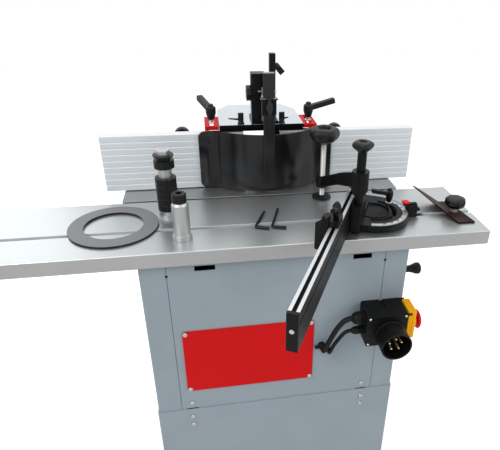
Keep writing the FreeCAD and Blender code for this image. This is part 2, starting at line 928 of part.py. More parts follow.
def motor_plate():
    rim = quill_r + motor_plate_rim
    high = quill_low + motor_plate_h
    plate = fuse([cyl(0, spindle_y, quill_low, rim, motor_plate_h),
                  cyl(-motor_offset, spindle_y, quill_low, motor_r - fin_depth, motor_plate_h),
                  box(-motor_offset, 0, spindle_y - rim, spindle_y + rim, quill_low, high)])
    plate = plate.cut(cyl(0, spindle_y, quill_low - overrun, quill_r + snug_fit, motor_plate_h + 2 * overrun))
    plate = plate.cut(cyl(-motor_offset, spindle_y, quill_low - overrun, motor_shaft_r + slide_gap,
                          motor_plate_h + 2 * overrun))
    save("motor_plate", plate)


def motor_body():
    low = quill_low + motor_plate_h
    x, y = -motor_offset, spindle_y
    cap_share = 0.85
    body = fuse([cyl(x, y, low, motor_r - fin_depth, motor_h),
                 turned([(0, low + motor_h), (motor_r - fin_depth, low + motor_h),
                         (motor_r * cap_share, low + motor_h + fan_cover_h), (0, low + motor_h + fan_cover_h)],
                         x, y)])
    fins = []
    for i in range(fin_count):
        fin = box(x, x + motor_r, y - fin_width / 2, y + fin_width / 2, low + fin_depth, low + motor_h - fin_depth)
        fin.rotate(V(x, y, 0), UP, 360 * i / fin_count)
        fins.append(fin)
    body = fuse([body] + fins)
    body = body.cut(cyl(x, y, low - overrun, motor_shaft_r + running_fit, overrun + motor_shaft_in + slide_gap))
    save("motor_body", body)


def fence_half(x0, x1):
    low = table_height + fence_lift
    body = box(x0, x1, fence_y, fence_back, low, low + fence_height)
    step = fence_height / (fence_grooves + 1)
    a, b = x0 - overrun, x1 + overrun
    for i in range(fence_grooves):
        z = low + step * (i + 1)
        body = body.cut(box(a, b, fence_y - overrun, fence_y + groove_depth, z - groove_width / 2,
                            z + groove_width / 2))
    z = table_height + lock_height
    lip = fence_back - fence_slot_lip
    body = body.cut(box(a, b, lip, fence_back + overrun, z - fence_slot_mouth / 2, z + fence_slot_mouth / 2))
    body = body.cut(box(a, b, lip - fence_slot_deep, lip, z - fence_slot_wide / 2, z + fence_slot_wide / 2))
    return body


def lid_outline(inset, front):
    half = lid_half - inset
    back = lid_front + housing_back - inset
    return [(-half, front), (half, front), (half, back - lid_chamfer_y), (half - lid_chamfer_x, back),
            (-half + lid_chamfer_x, back), (-half, back - lid_chamfer_y)]


def ear(side):
    # Slotted ear, fence flange and foot on one side of the housing
    def span(a, b, y0, y1, z0, z1):
        low, high = sorted((side * a, side * b))
        return box(low, high, y0, y1, table_height + z0, table_height + z1)
    inner = housing_half - hood_wall / 2
    pieces = [span(ear_inner, ear_outer, lid_front, lid_front + ear_length, ear_top - ear_thick, ear_top),
              span(inner, ear_outer, housing_front + flange_thick, lid_front + ear_length, ear_top - ear_thick,
                   housing_top),
              span(inner, flange_outer, housing_front, housing_front + flange_thick, flange_low, flange_high),
              span(inner, housing_half + foot_out, housing_front + flange_thick, housing_front + foot_length, 0,
                   foot_h),
              span(ear_outer - hood_wall, ear_outer, housing_front, housing_front + foot_length / 2, flange_low,
                   ear_top - ear_thick)]
    lug = fuse(pieces)
    mid = (ear_inner + ear_outer) / 2
    slot = span(mid - ear_slot / 2, mid + ear_slot / 2, lid_front + ear_thick, lid_front + ear_length - ear_thick,
                ear_top - ear_thick * 2, ear_top + overrun)
    hole = cyl(side * lock_x, housing_front - overrun, table_height + lock_height, lock_stud_r + running_fit,
               flange_thick + 2 * overrun, BACK)
    return lug.cut(slot).cut(hole)


housing_rear = lid_front + housing_back - lid_inset
rear_half = lid_half - lid_inset - lid_chamfer_x - hood_wall


def housing_side(side):
    # Cast side of the fence housing, with its ear, flange and foot
    inside = prism(lid_outline(lid_inset + hood_wall, housing_front - overrun), table_height - overrun,
                   lid_low + overrun)
    wall = prism(lid_outline(lid_inset, housing_front), table_height, lid_low).cut(inside)
    low, high = sorted((side * rear_half, side * lid_half))
    wall = wall.common(box(low, high, housing_front, housing_rear + overrun, table_height, lid_low))
    return fuse([wall, ear(side).cut(inside)])


def housing_rear_plate():
    plate = box(-rear_half, rear_half, housing_rear - hood_wall, housing_rear, table_height, lid_low)
    hole = cyl(0, housing_rear - hood_wall - overrun, table_height + port_height, port_r - port_wall,
               hood_wall + 2 * overrun, BACK)
    save("housing_rear", plate.cut(hole))


def dust_port():
    z = table_height + port_height
    tube = cyl(0, housing_rear, z, port_r, port_length, BACK)
    save("dust_port", tube.cut(cyl(0, housing_rear - overrun, z, port_r - port_wall, port_length + 2 * overrun,
                                   BACK)))


def fence_lid():
    front = lid_front + band_thick
    plate = prism(lid_outline(0, front), lid_low, lid_top)
    band = fuse([box(-lid_half, lid_half, lid_front, front, lid_low - band_drop, lid_top),
                 box(-lid_half + band_drop, lid_half - band_drop, front, front + band_flange,
                     lid_low - band_flange_h, lid_low)])
    for side in (-1, 1):
        hole = cyl(side * wing_x, lid_front + wing_inset, lid_low - band_drop, wing_shank_r + running_fit,
                   band_drop + lid_thick + overrun)
        plate, band = plate.cut(hole), band.cut(hole)
    save("fence_lid", group([plate, band]))


def wing_screw(side, reach):
    x, y = side * wing_x, lid_front + wing_inset
    flange_share, neck_share, blade_share = 0.25, 0.75, 0.4
    hub = turned([(0, lid_top), (wing_hub_r, lid_top), (wing_hub_r, lid_top + wing_hub_h * flange_share),
                  (wing_hub_r * neck_share, lid_top + wing_hub_h * flange_share),
                  (wing_hub_r, lid_top + wing_hub_h), (0, lid_top + wing_hub_h)], x, y)
    x0, x1 = sorted((x, x + side * reach))
    low = lid_top + wing_hub_h * blade_share
    blade = box(x0, x1, y - wing_blade_t / 2, y + wing_blade_t / 2, low, low + wing_blade_h)
    shank = cyl(x, y, lid_low - band_flange_h, wing_shank_r, band_flange_h + lid_thick)
    return fuse([hub, blade, shank])


def lock_knob(side):
    x, z = side * lock_x, table_height + lock_height
    lip = fence_back - fence_slot_lip
    head_share = 0.9
    half = fence_slot_wide * head_share / 2
    depth = fence_slot_deep * head_share
    head = box(x - half, x + half, lip - fence_slot_deep / 2 - depth / 2, lip - slide_gap, z - half, z + half)
    back = housing_front + flange_thick
    stud = cyl(x, lip - slide_gap, z, lock_stud_r, back - lip + slide_gap, BACK)
    knob = cyl(x, back, z, lock_knob_r, lock_knob_h, BACK)
    return fuse([head, stud, rounded_rim(knob, groove_width)])


def rounded_rim(knob, r):
    return knob.makeFillet(r, [e for e in knob.Edges if e.Curve.TypeId == "Part::GeomCircle"])


def side_knob():
    y = lid_front + band_thick + post_depth / 2
    z = table_height + side_knob_height
    knob = cyl(post_left - side_knob_h, y, z, side_knob_r, side_knob_h, RIGHT)
    screw = cyl(post_left, y, z, lock_stud_r, post_right - post_left, RIGHT)
    return fuse([rounded_rim(knob, groove_width), screw])


def rod_knob():
    y = lid_front + band_thick + rod_setback + rod_size / 2
    x, z = rod_left + rod_size, table_height + rod_knob_height
    hub_share, tip_share, end_share = 0.3, 0.7, 0.95
    reach = guard_wing
    hub = cyl(x, y, z, wing_hub_r, reach * hub_share, RIGHT)
    # The wing slants down and away from the rod
    outline = [V(x, y, z + reach * hub_share), V(x + reach * hub_share, y, z + reach * hub_share),
               V(x + reach * end_share, y, z - reach), V(x + reach * tip_share, y, z - reach)]
    wing = Part.Face(Part.makePolygon(outline + [outline[0]])).extrude(V(0, wing_blade_t, 0))
    return fuse([hub, wing])


def clamp_knobs():
    knobs = [wing_screw(-1, left_blade), wing_screw(1, right_blade), lock_knob(-1), lock_knob(1), side_knob(),
             rod_knob()]
    save("clamp_knobs", group(knobs))


def guard_bracket():
    front = lid_front + band_thick
    high = table_height + post_top
    foot = box(post_left, foot_right, front, front + foot_back, lid_top, lid_top + foot_plate)
    post = box(post_left, post_right, front, front + post_depth, lid_top, high)
    lip = box(post_left, post_right + post_lip, front - post_lip / 2, front + post_depth, high - post_lip, high)
    body = fuse([foot, post, lip])
    y = front + post_depth / 2
    body = body.cut(cyl(post_left - overrun, y, table_height + side_knob_height, lock_stud_r + running_fit,
                        post_right - post_left + 2 * overrun, RIGHT))
    rod_y = front + rod_setback
    rod = box(rod_left, rod_left + rod_size, rod_y, rod_y + rod_size, lid_top + foot_plate, table_height + rod_top)
    rod = rod.makeChamfer(groove_depth, [e for e in rod.Edges if e.BoundBox.ZMin > table_height + post_top])
    x1 = arm_left + arm_size + strap_gap + strap_thick
    z0, z1 = table_height + arm_low - strap_gap, table_height + arm_low + arm_size + strap_gap
    y0, y1 = front - strap_width, front
    strap = fuse([box(strap_left, strap_right, y0, y1, z1, z1 + strap_thick),
                  box(x1 - strap_thick, x1, y0, y1, z0 - strap_thick, z1 + strap_thick),
                  box(post_right, x1, y0, y1, z0 - strap_thick, z0)])
    save("guard_bracket", group([body, rod, strap]))


def guard_arm():
    back = lid_front + band_thick + arm_back
    z0 = table_height + arm_low
    half = upright_width / 2 + slide_gap
    low, high = table_height + sleeve_low, table_height + sleeve_high
    y0, y1 = upright_front - slide_gap - sleeve_wall, upright_back + slide_gap + sleeve_wall
    sleeve = box(guard_x - half - sleeve_wall, guard_x + half + sleeve_wall, y0, y1, low, high)
    sleeve = rounded(sleeve, sleeve_wall / 2, UP)
    flange = box(guard_x - half - sleeve_wall * 2, guard_x + half + sleeve_wall * 2, y0, y1, high - sleeve_wall,
                 high)
    bar = box(arm_left, arm_left + arm_size, y1 - sleeve_wall, back, z0, z0 + arm_size)
    body = fuse([sleeve, flange, bar])
    body = body.cut(box(guard_x - half, guard_x + half, upright_front - slide_gap, upright_back + slide_gap,
                        low - overrun, high + overrun))
    z = (low + high) / 2
    wing = [V(guard_x, y0, z + guard_wing), V(guard_x + wing_hub_r, y0, z), V(guard_x, y0, z - guard_wing),
            V(guard_x - wing_hub_r, y0, z)]
    thick = wing_hub_r
    knob = Part.Face(Part.makePolygon(wing + [wing[0]])).extrude(V(0, -thick, 0))
    save("guard_arm", group([body, knob]))


def hood_line(shift):
    # Right half of the hood's plan line, shifted outwards by a share of its sheet: arc, straight, arc, wing
    turn = math.radians(hood_arc_turn)
    r = hood_arc_r + shift
    centre = V(guard_x, hood_front + hood_arc_r, 0)
    apex = V(guard_x, centre.y - r, 0)
    mid = V(guard_x + r * math.sin(turn / 2), centre.y - r * math.cos(turn / 2), 0)
    leave = V(guard_x + r * math.sin(turn), centre.y - r * math.cos(turn), 0)
    wing_y = fence_y - hood_wing_gap - sheet - shift
    inner = hood_fillet - shift
    run = (wing_y - leave.y - inner * (1 - math.cos(turn))) / math.sin(turn)
    meet = V(leave.x + run * math.cos(turn), leave.y + run * math.sin(turn), 0)
    core = V(meet.x + inner * math.sin(turn), wing_y - inner, 0)
    half_turn = V(core.x - inner * math.sin(turn / 2), core.y + inner * math.cos(turn / 2), 0)
    land = V(core.x, wing_y, 0)
    end = V(guard_x + hood_half, wing_y, 0)
    return apex, mid, leave, meet, half_turn, land, end


def mirrored(point):
    return V(2 * guard_x - point.x, point.y, 0)


def guard_hood():
    front, back = hood_line(0), hood_line(-sheet)

    def edges(p):
        return [Part.Arc(p[0], p[1], p[2]), Part.LineSegment(p[2], p[3]), Part.Arc(p[3], p[4], p[5]),
                Part.LineSegment(p[5], p[6])]
    parts = edges(front) + edges(back)
    parts += edges([mirrored(p) for p in front]) + edges([mirrored(p) for p in back])
    ends = [Part.LineSegment(front[-1], back[-1]), Part.LineSegment(mirrored(front[-1]), mirrored(back[-1]))]
    wires = Part.sortEdges([e.toShape() for e in parts + ends])
    face = Part.Face(Part.Wire(wires[0]))
    height = hood_high - hood_low
    hood = face.extrude(V(0, 0, height))
    hood.translate(V(0, 0, table_height + hood_low))
    corners = [e for e in edges_along(hood, BACK) if e.Length < sheet * 2]
    hood = hood.makeFillet(hood_corner, corners)
    half = upright_width / 2
    bar = box(guard_x - half, guard_x + half, upright_front, upright_back, table_height + upright_low,
              table_height + upright_top)
    bar = rounded(bar, groove_depth, UP)
    save("guard_hood", group([hood, bar]))


def local(shape):
    # Places a shape drawn about the gauge's pivot, with its bar along +Y, on the machine
    shape.rotate(V(0, 0, 0), UP, -bar_turn)
    shape.translate(pivot)
    return shape


def mitre_base():
    low = tslot_floor + slide_gap
    z0 = table_height + slide_gap
    neck = tslot_mouth / 2 - slide_gap
    wide = tslot_wide / 2 - slide_gap
    y = tslot_y
    block_right = pointer_left + pointer_width
    body = fuse([box(tongue_left, tongue_right, y - wide, y + wide, low, low + tongue_h),
                 box(tongue_left, tongue_right, y - neck, y + neck, low, z0 + slide_gap * 2),
                 cyl(pivot_x, y, z0, base_r, base_h),
                 cyl(pivot_x, y, z0, pivot_r, base_h + pivot_h),
                 box(pointer_left, block_right, y - pointer_depth / 2, y + pointer_depth / 2, z0, z0 + pointer_h),
                 box(pivot_x + base_r - overrun, block_right, y - neck * 2, y + neck * 2, z0, z0 + base_h),
                 box(pointer_x - pointer_cap_r / 2, block_right, y - pointer_cap_r / 2, y + pointer_cap_r / 2,
                     z0 + pointer_h - sheet, z0 + pointer_h + pointer_arm_h),
                 cyl(block_right, y, z0 + pointer_h / 2, pointer_pin_r, pointer_pin, RIGHT)])
    angle = math.radians(clamp_turn - bar_turn)
    body = body.cut(cyl(pivot_x + clamp_r * math.cos(angle), y + clamp_r * math.sin(angle), z0 - overrun,
                        lever_stud_r + running_fit, base_h + 2 * overrun))
    save("mitre_base", body)


def angle_pointer():
    z0 = table_height + slide_gap + pointer_h + pointer_arm_h
    cap = cyl(pointer_x, tslot_y, z0, pointer_cap_r, pointer_cap_h)
    save("angle_pointer", rounded_rim(cap, groove_depth))


def pie(r, low_turn, turn, z0, z1):
    a, b = math.radians(low_turn), math.radians(low_turn + turn)
    mid = (a + b) / 2
    p = [V(r * math.cos(t), r * math.sin(t), z0) for t in (a, mid, b)]
    centre = V(0, 0, z0)
    edges = [Part.LineSegment(centre, p[0]), Part.Arc(p[0], p[1], p[2]), Part.LineSegment(p[2], centre)]
    return Part.Face(Part.Wire([e.toShape() for e in edges])).extrude(V(0, 0, z1 - z0))


dial_low = table_height + slide_gap + base_h + slide_gap
dial_high = dial_low + dial_h


def protractor():
    half = cyl(0, 0, dial_low, dial_r, dial_h).common(box(0, dial_r + overrun, -dial_r - overrun, dial_r + overrun,
                                                          dial_low, dial_high))
    left = -bar_offset + slide_gap
    flat = box(left, 0, -dial_r, dial_r, dial_low, dial_high)
    flat = rounded(flat, sheet, UP)
    step = box(left, left + holder_thick, -holder_near, -holder_far + dial_r, dial_low, dial_high)
    block = box(left, left + holder_thick, -holder_near, -holder_far, dial_high - overrun / 5,
                table_height + holder_high)
    block = rounded(block, sheet, UP)
    body = fuse([half, flat, step, block])
    dish = pie(dial_dish_outer, -math.degrees(math.pi / 2) + dial_dish_inner, 180 - 2 * dial_dish_inner,
               dial_high - dial_dish, dial_high + overrun).cut(cyl(0, 0, dial_low, pivot_r + hood_wall, dial_h * 2))
    body = body.cut(dish)
    body = body.cut(cyl(0, 0, dial_low - overrun, pivot_r + running_fit, dial_h + 2 * overrun))
    arc = pie(clamp_r + clamp_slot_r, clamp_slot_low, clamp_slot_high - clamp_slot_low, dial_low - overrun,
              dial_high + overrun)
    arc = arc.cut(cyl(0, 0, dial_low - 2 * overrun, clamp_r - clamp_slot_r, dial_h + 4 * overrun))
    body = body.cut(arc)
    ring = pie(dial_r - dial_gap * 2, scale_low_turn, scale_turn, dial_high - scale_h, dial_high + overrun)
    ring = ring.cut(cyl(0, 0, dial_low, scale_inner_r, dial_h * 2))
    body = body.cut(ring)
    body = body.cut(cyl(post_local_x, post_local_y, table_height + holder_high - post_collar_h, post_r,
                        post_collar_h + overrun))
    save("protractor", local(body))


def angle_scale():
    ring = pie(dial_r - dial_gap * 2, scale_low_turn, scale_turn, dial_high - scale_h, dial_high)
    ring = ring.cut(cyl(0, 0, dial_low, scale_inner_r, dial_h * 2))
    save("angle_scale", local(ring))


def holddown_post():
    low = table_height + holder_high
    high = table_height + clamp_post_top
    x, y = post_local_x, post_local_y
    collar = table_height + arm_boss_low - slide_gap
    post = fuse([cyl(x, y, low - post_collar_h, post_r, high - low + post_collar_h),
                 cyl(x, y, collar - post_collar_h, post_collar_r, post_collar_h)])
    knob = star_knob(x, y, high, post_knob_r, post_knob_h, star_lobes)
    save("holddown_post", local(group([post, knob])))


def mitre_lever():
    angle = math.radians(clamp_turn - bar_turn)
    x, y = pivot_x + clamp_r * math.cos(angle), tslot_y + clamp_r * math.sin(angle)
    z = dial_high + slide_gap
    collar = cyl(x, y, z, lever_nut / 2, post_collar_h)
    lever = clamp_lever(x, y, z + post_collar_h, small_lever_r, clamp_lever_hub_h, clamp_lever_arm,
                        clamp_lever_turn)
    stud = cyl(x, y, table_height + slide_gap, lever_stud_r, z - table_height)
    save("mitre_lever", fuse([collar, lever, stud]))


def mitre_fence():
    x1 = -bar_offset
    x0 = x1 - bar_width
    z0, z1 = table_height + bar_low, table_height + bar_high
    near, far = -bar_near + bar_cap, bar_far - bar_cap
    mid = (x0 + x1) / 2
    bar = box(x0, x1, near, far, z0, z1)
    a, b = near - overrun, far + overrun
    bar = bar.cut(box(mid - bar_slot / 2, mid + bar_slot / 2, a, b, z1 - bar_slot_lip - bar_slot_deep,
                      z1 + overrun))
    bar = bar.cut(box(mid - bar_slot_wide / 2, mid + bar_slot_wide / 2, a, b, z1 - bar_slot_lip - bar_slot_deep,
                      z1 - bar_slot_lip))
    z = (z0 + z1) / 2 + bar_slot_wide
    for wall, way in ((x0, 1), (x1, -1)):
        c, d = sorted((wall - way * overrun, wall + way * bar_groove_deep))
        bar = bar.cut(box(c, d, a, b, z - bar_groove / 2, z + bar_groove / 2))
    caps = [rounded(box(x0, x1, y, y + bar_cap, z0, z1), groove_depth / 2, UP) for y in (-bar_near, far)]
    screw_z = z1 - bar_screw_drop
    head = cyl(mid, -bar_near - groove_depth, screw_z, screw_head_r * 0.7, groove_depth, BACK)
    save("mitre_fence", local(group([bar] + caps + [head])))


def stop_carrier():
    x1 = -bar_offset
    x0 = x1 - bar_width
    mid = (x0 + x1) / 2
    z1 = table_height + bar_high + slide_gap
    y0, y1 = stop_at - stop_block_len / 2, stop_at + stop_block_len / 2
    block = box(x0 - slide_gap - stop_side, x1, y0, y1, z1, z1 + stop_block_h)
    drop = box(x0 - slide_gap - stop_side, x0 - slide_gap, y0, y1, z1 - stop_side * 2, z1 + stop_block_h)
    ear = box(x0 - slide_gap - stop_side, x0 - slide_gap, y0, y0 + stop_side, z1,
              z1 + stop_pin_rise + stop_plate_over)
    block = fuse([block, drop, ear])
    pin_z = z1 + stop_pin_rise
    pin_x = x0 - slide_gap - stop_side / 2
    pin = cyl(pin_x, y0 - stop_plate_t - slide_gap * 2, pin_z, stop_pin_r, stop_plate_t + slide_gap * 2, BACK)
    lever = clamp_lever(mid, stop_at, z1 + stop_block_h, small_lever_r, clamp_lever_hub_h, stop_lever_arm,
                        -math.degrees(math.pi / 2))
    key = box(mid - bar_slot / 2 + slide_gap, mid + bar_slot / 2 - slide_gap, y0, y1, z1 - bar_slot_lip, z1)
    save("stop_carrier", local(fuse([block, pin, lever, key])))


def flip_stop():
    x0 = -bar_offset - bar_width
    z1 = table_height + bar_high + slide_gap
    pin_x = x0 - slide_gap - stop_side / 2
    pin_z = z1 + stop_pin_rise
    y1 = stop_at - stop_block_len / 2 - slide_gap
    right = x0 - slide_gap * 2
    left = right - stop_plate_w
    plate = box(left, right, y1 - stop_plate_t, y1, table_height + stop_plate_low, pin_z + stop_plate_over)
    plate = rounded(plate, groove_width, BACK)
    plate = plate.cut(cyl(pin_x, y1 - stop_plate_t - overrun, pin_z, stop_pin_r + running_fit,
                          stop_plate_t + 2 * overrun, BACK))
    save("flip_stop", local(plate))


def post_place():
    turn = math.radians(-bar_turn)
    x = post_local_x * math.cos(turn) - post_local_y * math.sin(turn)
    y = post_local_x * math.sin(turn) + post_local_y * math.cos(turn)
    return pivot_x + x, tslot_y + y


def holddown_arm():
    px, py = post_place()
    qx, qy = rod_x, slide_front + rod_inset
    reach = math.hypot(qx - px, qy - py)
    t = table_height
    knee = arm_knee
    # Side outline of the web, from the post's boss to the screw's boss
    outline = [(0, t + arm_root_low), (knee, t + arm_knee_low), (reach, t + rod_boss_low + sheet),
               (reach, t + rod_boss_high - sheet), (knee, t + arm_knee_high), (0, t + arm_root_high)]
    wire = Part.makePolygon([V(d, -arm_web / 2, z) for d, z in outline + [outline[0]]])
    web = Part.Face(wire).extrude(V(0, arm_web, 0))
    web.rotate(V(0, 0, 0), UP, math.degrees(math.atan2(qy - py, qx - px)))
    web.translate(V(px, py, 0))
    arm = fuse([web, cyl(px, py, t + arm_boss_low, arm_boss_r, arm_boss_high - arm_boss_low),
                cyl(qx, qy, t + rod_boss_low, rod_boss_r, rod_boss_high - rod_boss_low)])
    arm = arm.cut(cyl(px, py, t, post_r + running_fit, arm_boss_high + overrun))
    arm = arm.cut(cyl(qx, qy, t, screw_r + slide_gap, arm_boss_high + overrun))
    save("holddown_arm", arm)


def press_pad():
    x, y, z = rod_x, slide_front + rod_inset, table_height + slide_gap
    neck_share = 0.4
    pad = turned([(0, z), (pad_r, z), (pad_r, z + pad_h / 2), (pad_r * neck_share, z + pad_h), (0, z + pad_h)],
                 x, y)
    save("press_pad", pad)


def press_screw():
    x, y = rod_x, slide_front + rod_inset
    low = table_height + slide_gap + pad_h
    knob_low = table_height + star_low
    knob = star_knob(x, y, knob_low, star_r, star_h, star_lobes)
    save("press_screw", fuse([cyl(x, y, low, screw_r, knob_low - low + star_h / 2), knob]))


def edging_shoe():
    z0 = table_height
    y0, y1 = slide_front + shoe_near, slide_front + shoe_far
    base = prism([(shoe_left, y0), (shoe_right, y0), (shoe_right - shoe_skew, y1), (shoe_left, y1)], z0 + slide_gap,
                 z0 + slide_gap + shoe_plate)
    # The fin leans out from the base's left edge and runs to a point behind
    outline = [V(0, 0, 0), V(0, shoe_far - shoe_near, 0), V(-shoe_fin_rise, shoe_fin_far, 0),
               V(-shoe_fin_mid_rise, shoe_fin_mid, 0)]
    fin = Part.Face(Part.makePolygon(outline + [outline[0]])).extrude(V(0, 0, shoe_plate))
    fin.rotate(V(0, 0, 0), BACK, shoe_lean)
    fin.translate(V(shoe_left, y0, z0 + slide_gap))
    body = fuse([base, fin])
    x = shoe_bolt_x
    body = body.cut(cyl(x, tslot_y, z0 - overrun, lever_stud_r + running_fit, shoe_plate + 2 * overrun))
    low = tslot_floor + slide_gap
    wide = tslot_wide / 2 - slide_gap
    nut = box(x - tnut_long / 2, x + tnut_long / 2, tslot_y - wide, tslot_y + wide, low, low + tongue_h)
    stud = cyl(x, tslot_y, low, lever_stud_r, z0 + shoe_knob_low + shoe_knob_h / 2 - low)
    hexed = hexagon(x, tslot_y, shoe_hex_r, z0 + slide_gap + shoe_plate, z0 + shoe_knob_low - slide_gap)
    save("edging_shoe", group([body, fuse([nut, stud, hexed])]))


def shoe_knob():
    low = table_height + shoe_knob_low
    knob = star_knob(shoe_bolt_x, tslot_y, low, shoe_knob_r, shoe_knob_h, shoe_lobes)
    knob = knob.cut(cyl(shoe_bolt_x, tslot_y, low - overrun, lever_stud_r + running_fit,
                        overrun + shoe_knob_h / 2 + slide_gap))
    save("shoe_knob", knob)


spare_y = slide_front + spare_inset
collet_y = slide_front + collet_inset


def spare_spindles():
    t = table_height
    stack_top = t + spare_foot_h + spare_stack_h
    bare_top = stack_top + spare_bare_h + spare_knurl_h
    hex_low = bare_top + spare_neck_h + spare_flange_h
    bore = arbor_r * 0.6
    spare = fuse([cyl(spare_x, spare_y, t, spare_foot_r, spare_foot_h),
                  cyl(spare_x, spare_y, t + spare_foot_h, bore, spare_stack_h + sheet),
                  cyl(spare_x, spare_y, stack_top, spare_bare_r, spare_bare_h),
                  cyl(spare_x, spare_y, stack_top, bore, hex_low - stack_top + sheet),
                  hexagon(spare_x, spare_y, spare_hex_r, hex_low, hex_low + spare_hex_h)])
    collet_top = t + collet_foot_h + collet_body_h
    collet = turned([(0, t), (collet_foot_r, t), (collet_foot_r, t + collet_foot_h),
                     (collet_body_r, t + collet_foot_h),
                     (collet_body_r, collet_top - collet_neck_h), (collet_neck_r, collet_top),
                     (collet_neck_r * 0.8, collet_top), (collet_neck_r * 0.8, collet_top + collet_nut_h / 2),
                     (0, collet_top + collet_nut_h / 2)], collet_x, collet_y)
    save("spare_spindles", group([spare, collet]))


def spare_collars_and_nut():
    t = table_height
    bore = arbor_r * 0.6 + snug_fit
    stack = []
    step = spare_stack_h / spare_collars
    taper_share = 0.005
    for i in range(spare_collars):
        z = t + spare_foot_h + i * step
        r = spare_stack_r * (1 - taper_share * (spare_collars - 1 - i))
        ring = turned([(bore, z), (r - groove_depth / 2, z), (r, z + groove_depth / 2),
                       (r, z + step - groove_depth / 2),
                       (r - groove_depth / 2, z + step), (bore, z + step)], spare_x, spare_y)
        stack.append(ring)
    z = t + spare_foot_h + spare_stack_h + spare_bare_h
    top = z + spare_knurl_h
    nut_r = spare_stack_r * 0.95
    stack.append(turned([(bore, z), (nut_r, z), (nut_r, top), (spare_bare_r, top),
                         (spare_bare_r, top + spare_neck_h),
                         (bore, top + spare_neck_h)], spare_x, spare_y))
    low = top + spare_neck_h
    stack.append(turned([(bore, low), (spare_bare_r, low), (spare_flange_r, low + spare_flange_h / 2),
                         (spare_flange_r, low + spare_flange_h), (bore, low + spare_flange_h)], spare_x, spare_y))
    z = t + collet_foot_h + collet_body_h
    inner = collet_neck_r * 0.8 + snug_fit
    nut_top = z + collet_nut_h
    stack.append(turned([(inner, z), (collet_nut_r, z), (collet_nut_r, nut_top - groove_width),
                         (collet_neck_r, nut_top),
                         (collet_bore_r, nut_top), (collet_bore_r, z + collet_nut_h / 2 + snug_fit),
                         (inner, z + collet_nut_h / 2 + snug_fit)], collet_x, collet_y))
    save("spare_collars", group(stack))


def hex_key(x, inset, turn, long):
    half = key_size / 2
    y = slide_front + inset
    z = table_height
    arm = box(-half, half, -half, long, z, z + key_size)
    leg = box(-half, key_short, -half, half, z, z + key_size)
    key = rounded(fuse([arm, leg]), key_size / 3, UP)
    key.rotate(V(0, 0, 0), UP, turn)
    key.translate(V(x, y, 0))
    return key


def hex_keys():
    save("hex_keys", group([hex_key(key_one_x, key_one_inset, key_one_turn, key_one_long),
                            hex_key(key_two_x, key_two_inset, key_two_turn, key_two_long)]))


switch_right = switch_left + switch_width
switch_top = table_height - switch_drop
switch_low = switch_top - switch_h
switch_front = cab_front - switch_depth
inlet_z = table_height - inlet_drop
gland_y = cab_front - gland_depth
flap_left = switch_right + flap_gap
flap_high = switch_top - flap_margin / 2
flap_near = switch_front + flap_margin
flap_far = cab_front - flap_margin
hinge_x = flap_left + hinge_inset
hinge_z = flap_high - hinge_inset


def switch_box():
    body = rounded(box(switch_left, switch_right, switch_front, cab_front, switch_low, switch_top),
                   switch_corner, BACK)
    seam = box(switch_left - overrun, switch_right + overrun, switch_front + switch_lid,
               switch_front + switch_lid + groove_depth,
               switch_low - overrun, switch_top + overrun)
    core = rounded(box(switch_left + groove_depth / 2, switch_right - groove_depth / 2, switch_front, cab_front,
                       switch_low + groove_depth / 2, switch_top - groove_depth / 2), switch_corner, BACK)
    body = body.cut(seam.cut(core))
    mid = (switch_left + switch_right) / 2
    body = body.cut(box(mid - switch_groove / 2, mid + switch_groove / 2, switch_front + switch_lid * 2,
                        cab_front + overrun,
                        switch_top - switch_groove_deep, switch_top + overrun))
    lug_low, lug_high = hinge_z - hinge_lug, hinge_z + hinge_lug
    lug_left, lug_right = switch_right - overrun, hinge_x + hinge_lug
    lugs = [box(lug_left, lug_right, switch_front, flap_near - slide_gap, lug_low, lug_high),
            box(lug_left, lug_right, flap_far + slide_gap, cab_front, lug_low, lug_high)]
    body = fuse([body] + lugs)
    body = body.cut(cyl(hinge_x, switch_front - overrun, hinge_z, hinge_pin_r + running_fit,
                        switch_depth + 2 * overrun, BACK))
    start_z = switch_low + start_height
    mid_y = cab_front - switch_depth / 2
    body = body.cut(cyl(switch_right - start_h * 2, mid_y, start_z, start_r + slide_gap, start_h * 2 + overrun,
                        RIGHT))
    save("switch_box", body)


def mains_inlet():
    y0 = switch_front - inlet_length
    tube = cyl(inlet_x, y0, inlet_z, inlet_r, inlet_length, BACK)
    rim = cyl(inlet_x, switch_front - inlet_floor, inlet_z, inlet_r + inlet_rim, inlet_floor, BACK)
    shroud = fuse([tube, rim])
    shroud = shroud.cut(cyl(inlet_x, y0 - overrun, inlet_z, inlet_r - inlet_wall,
                            inlet_length - inlet_floor + overrun, BACK))
    save("mains_inlet", shroud)


def inlet_pin_set():
    pins = []
    for i in range(inlet_pins):
        turn = 2 * math.pi * i / inlet_pins + math.pi / 2
        x, z = inlet_x + inlet_pin_pcd * math.cos(turn), inlet_z + inlet_pin_pcd * math.sin(turn)
        pins.append(cyl(x, switch_front - inlet_floor - inlet_pin, z, inlet_pin_r, inlet_pin, BACK))
    return pins


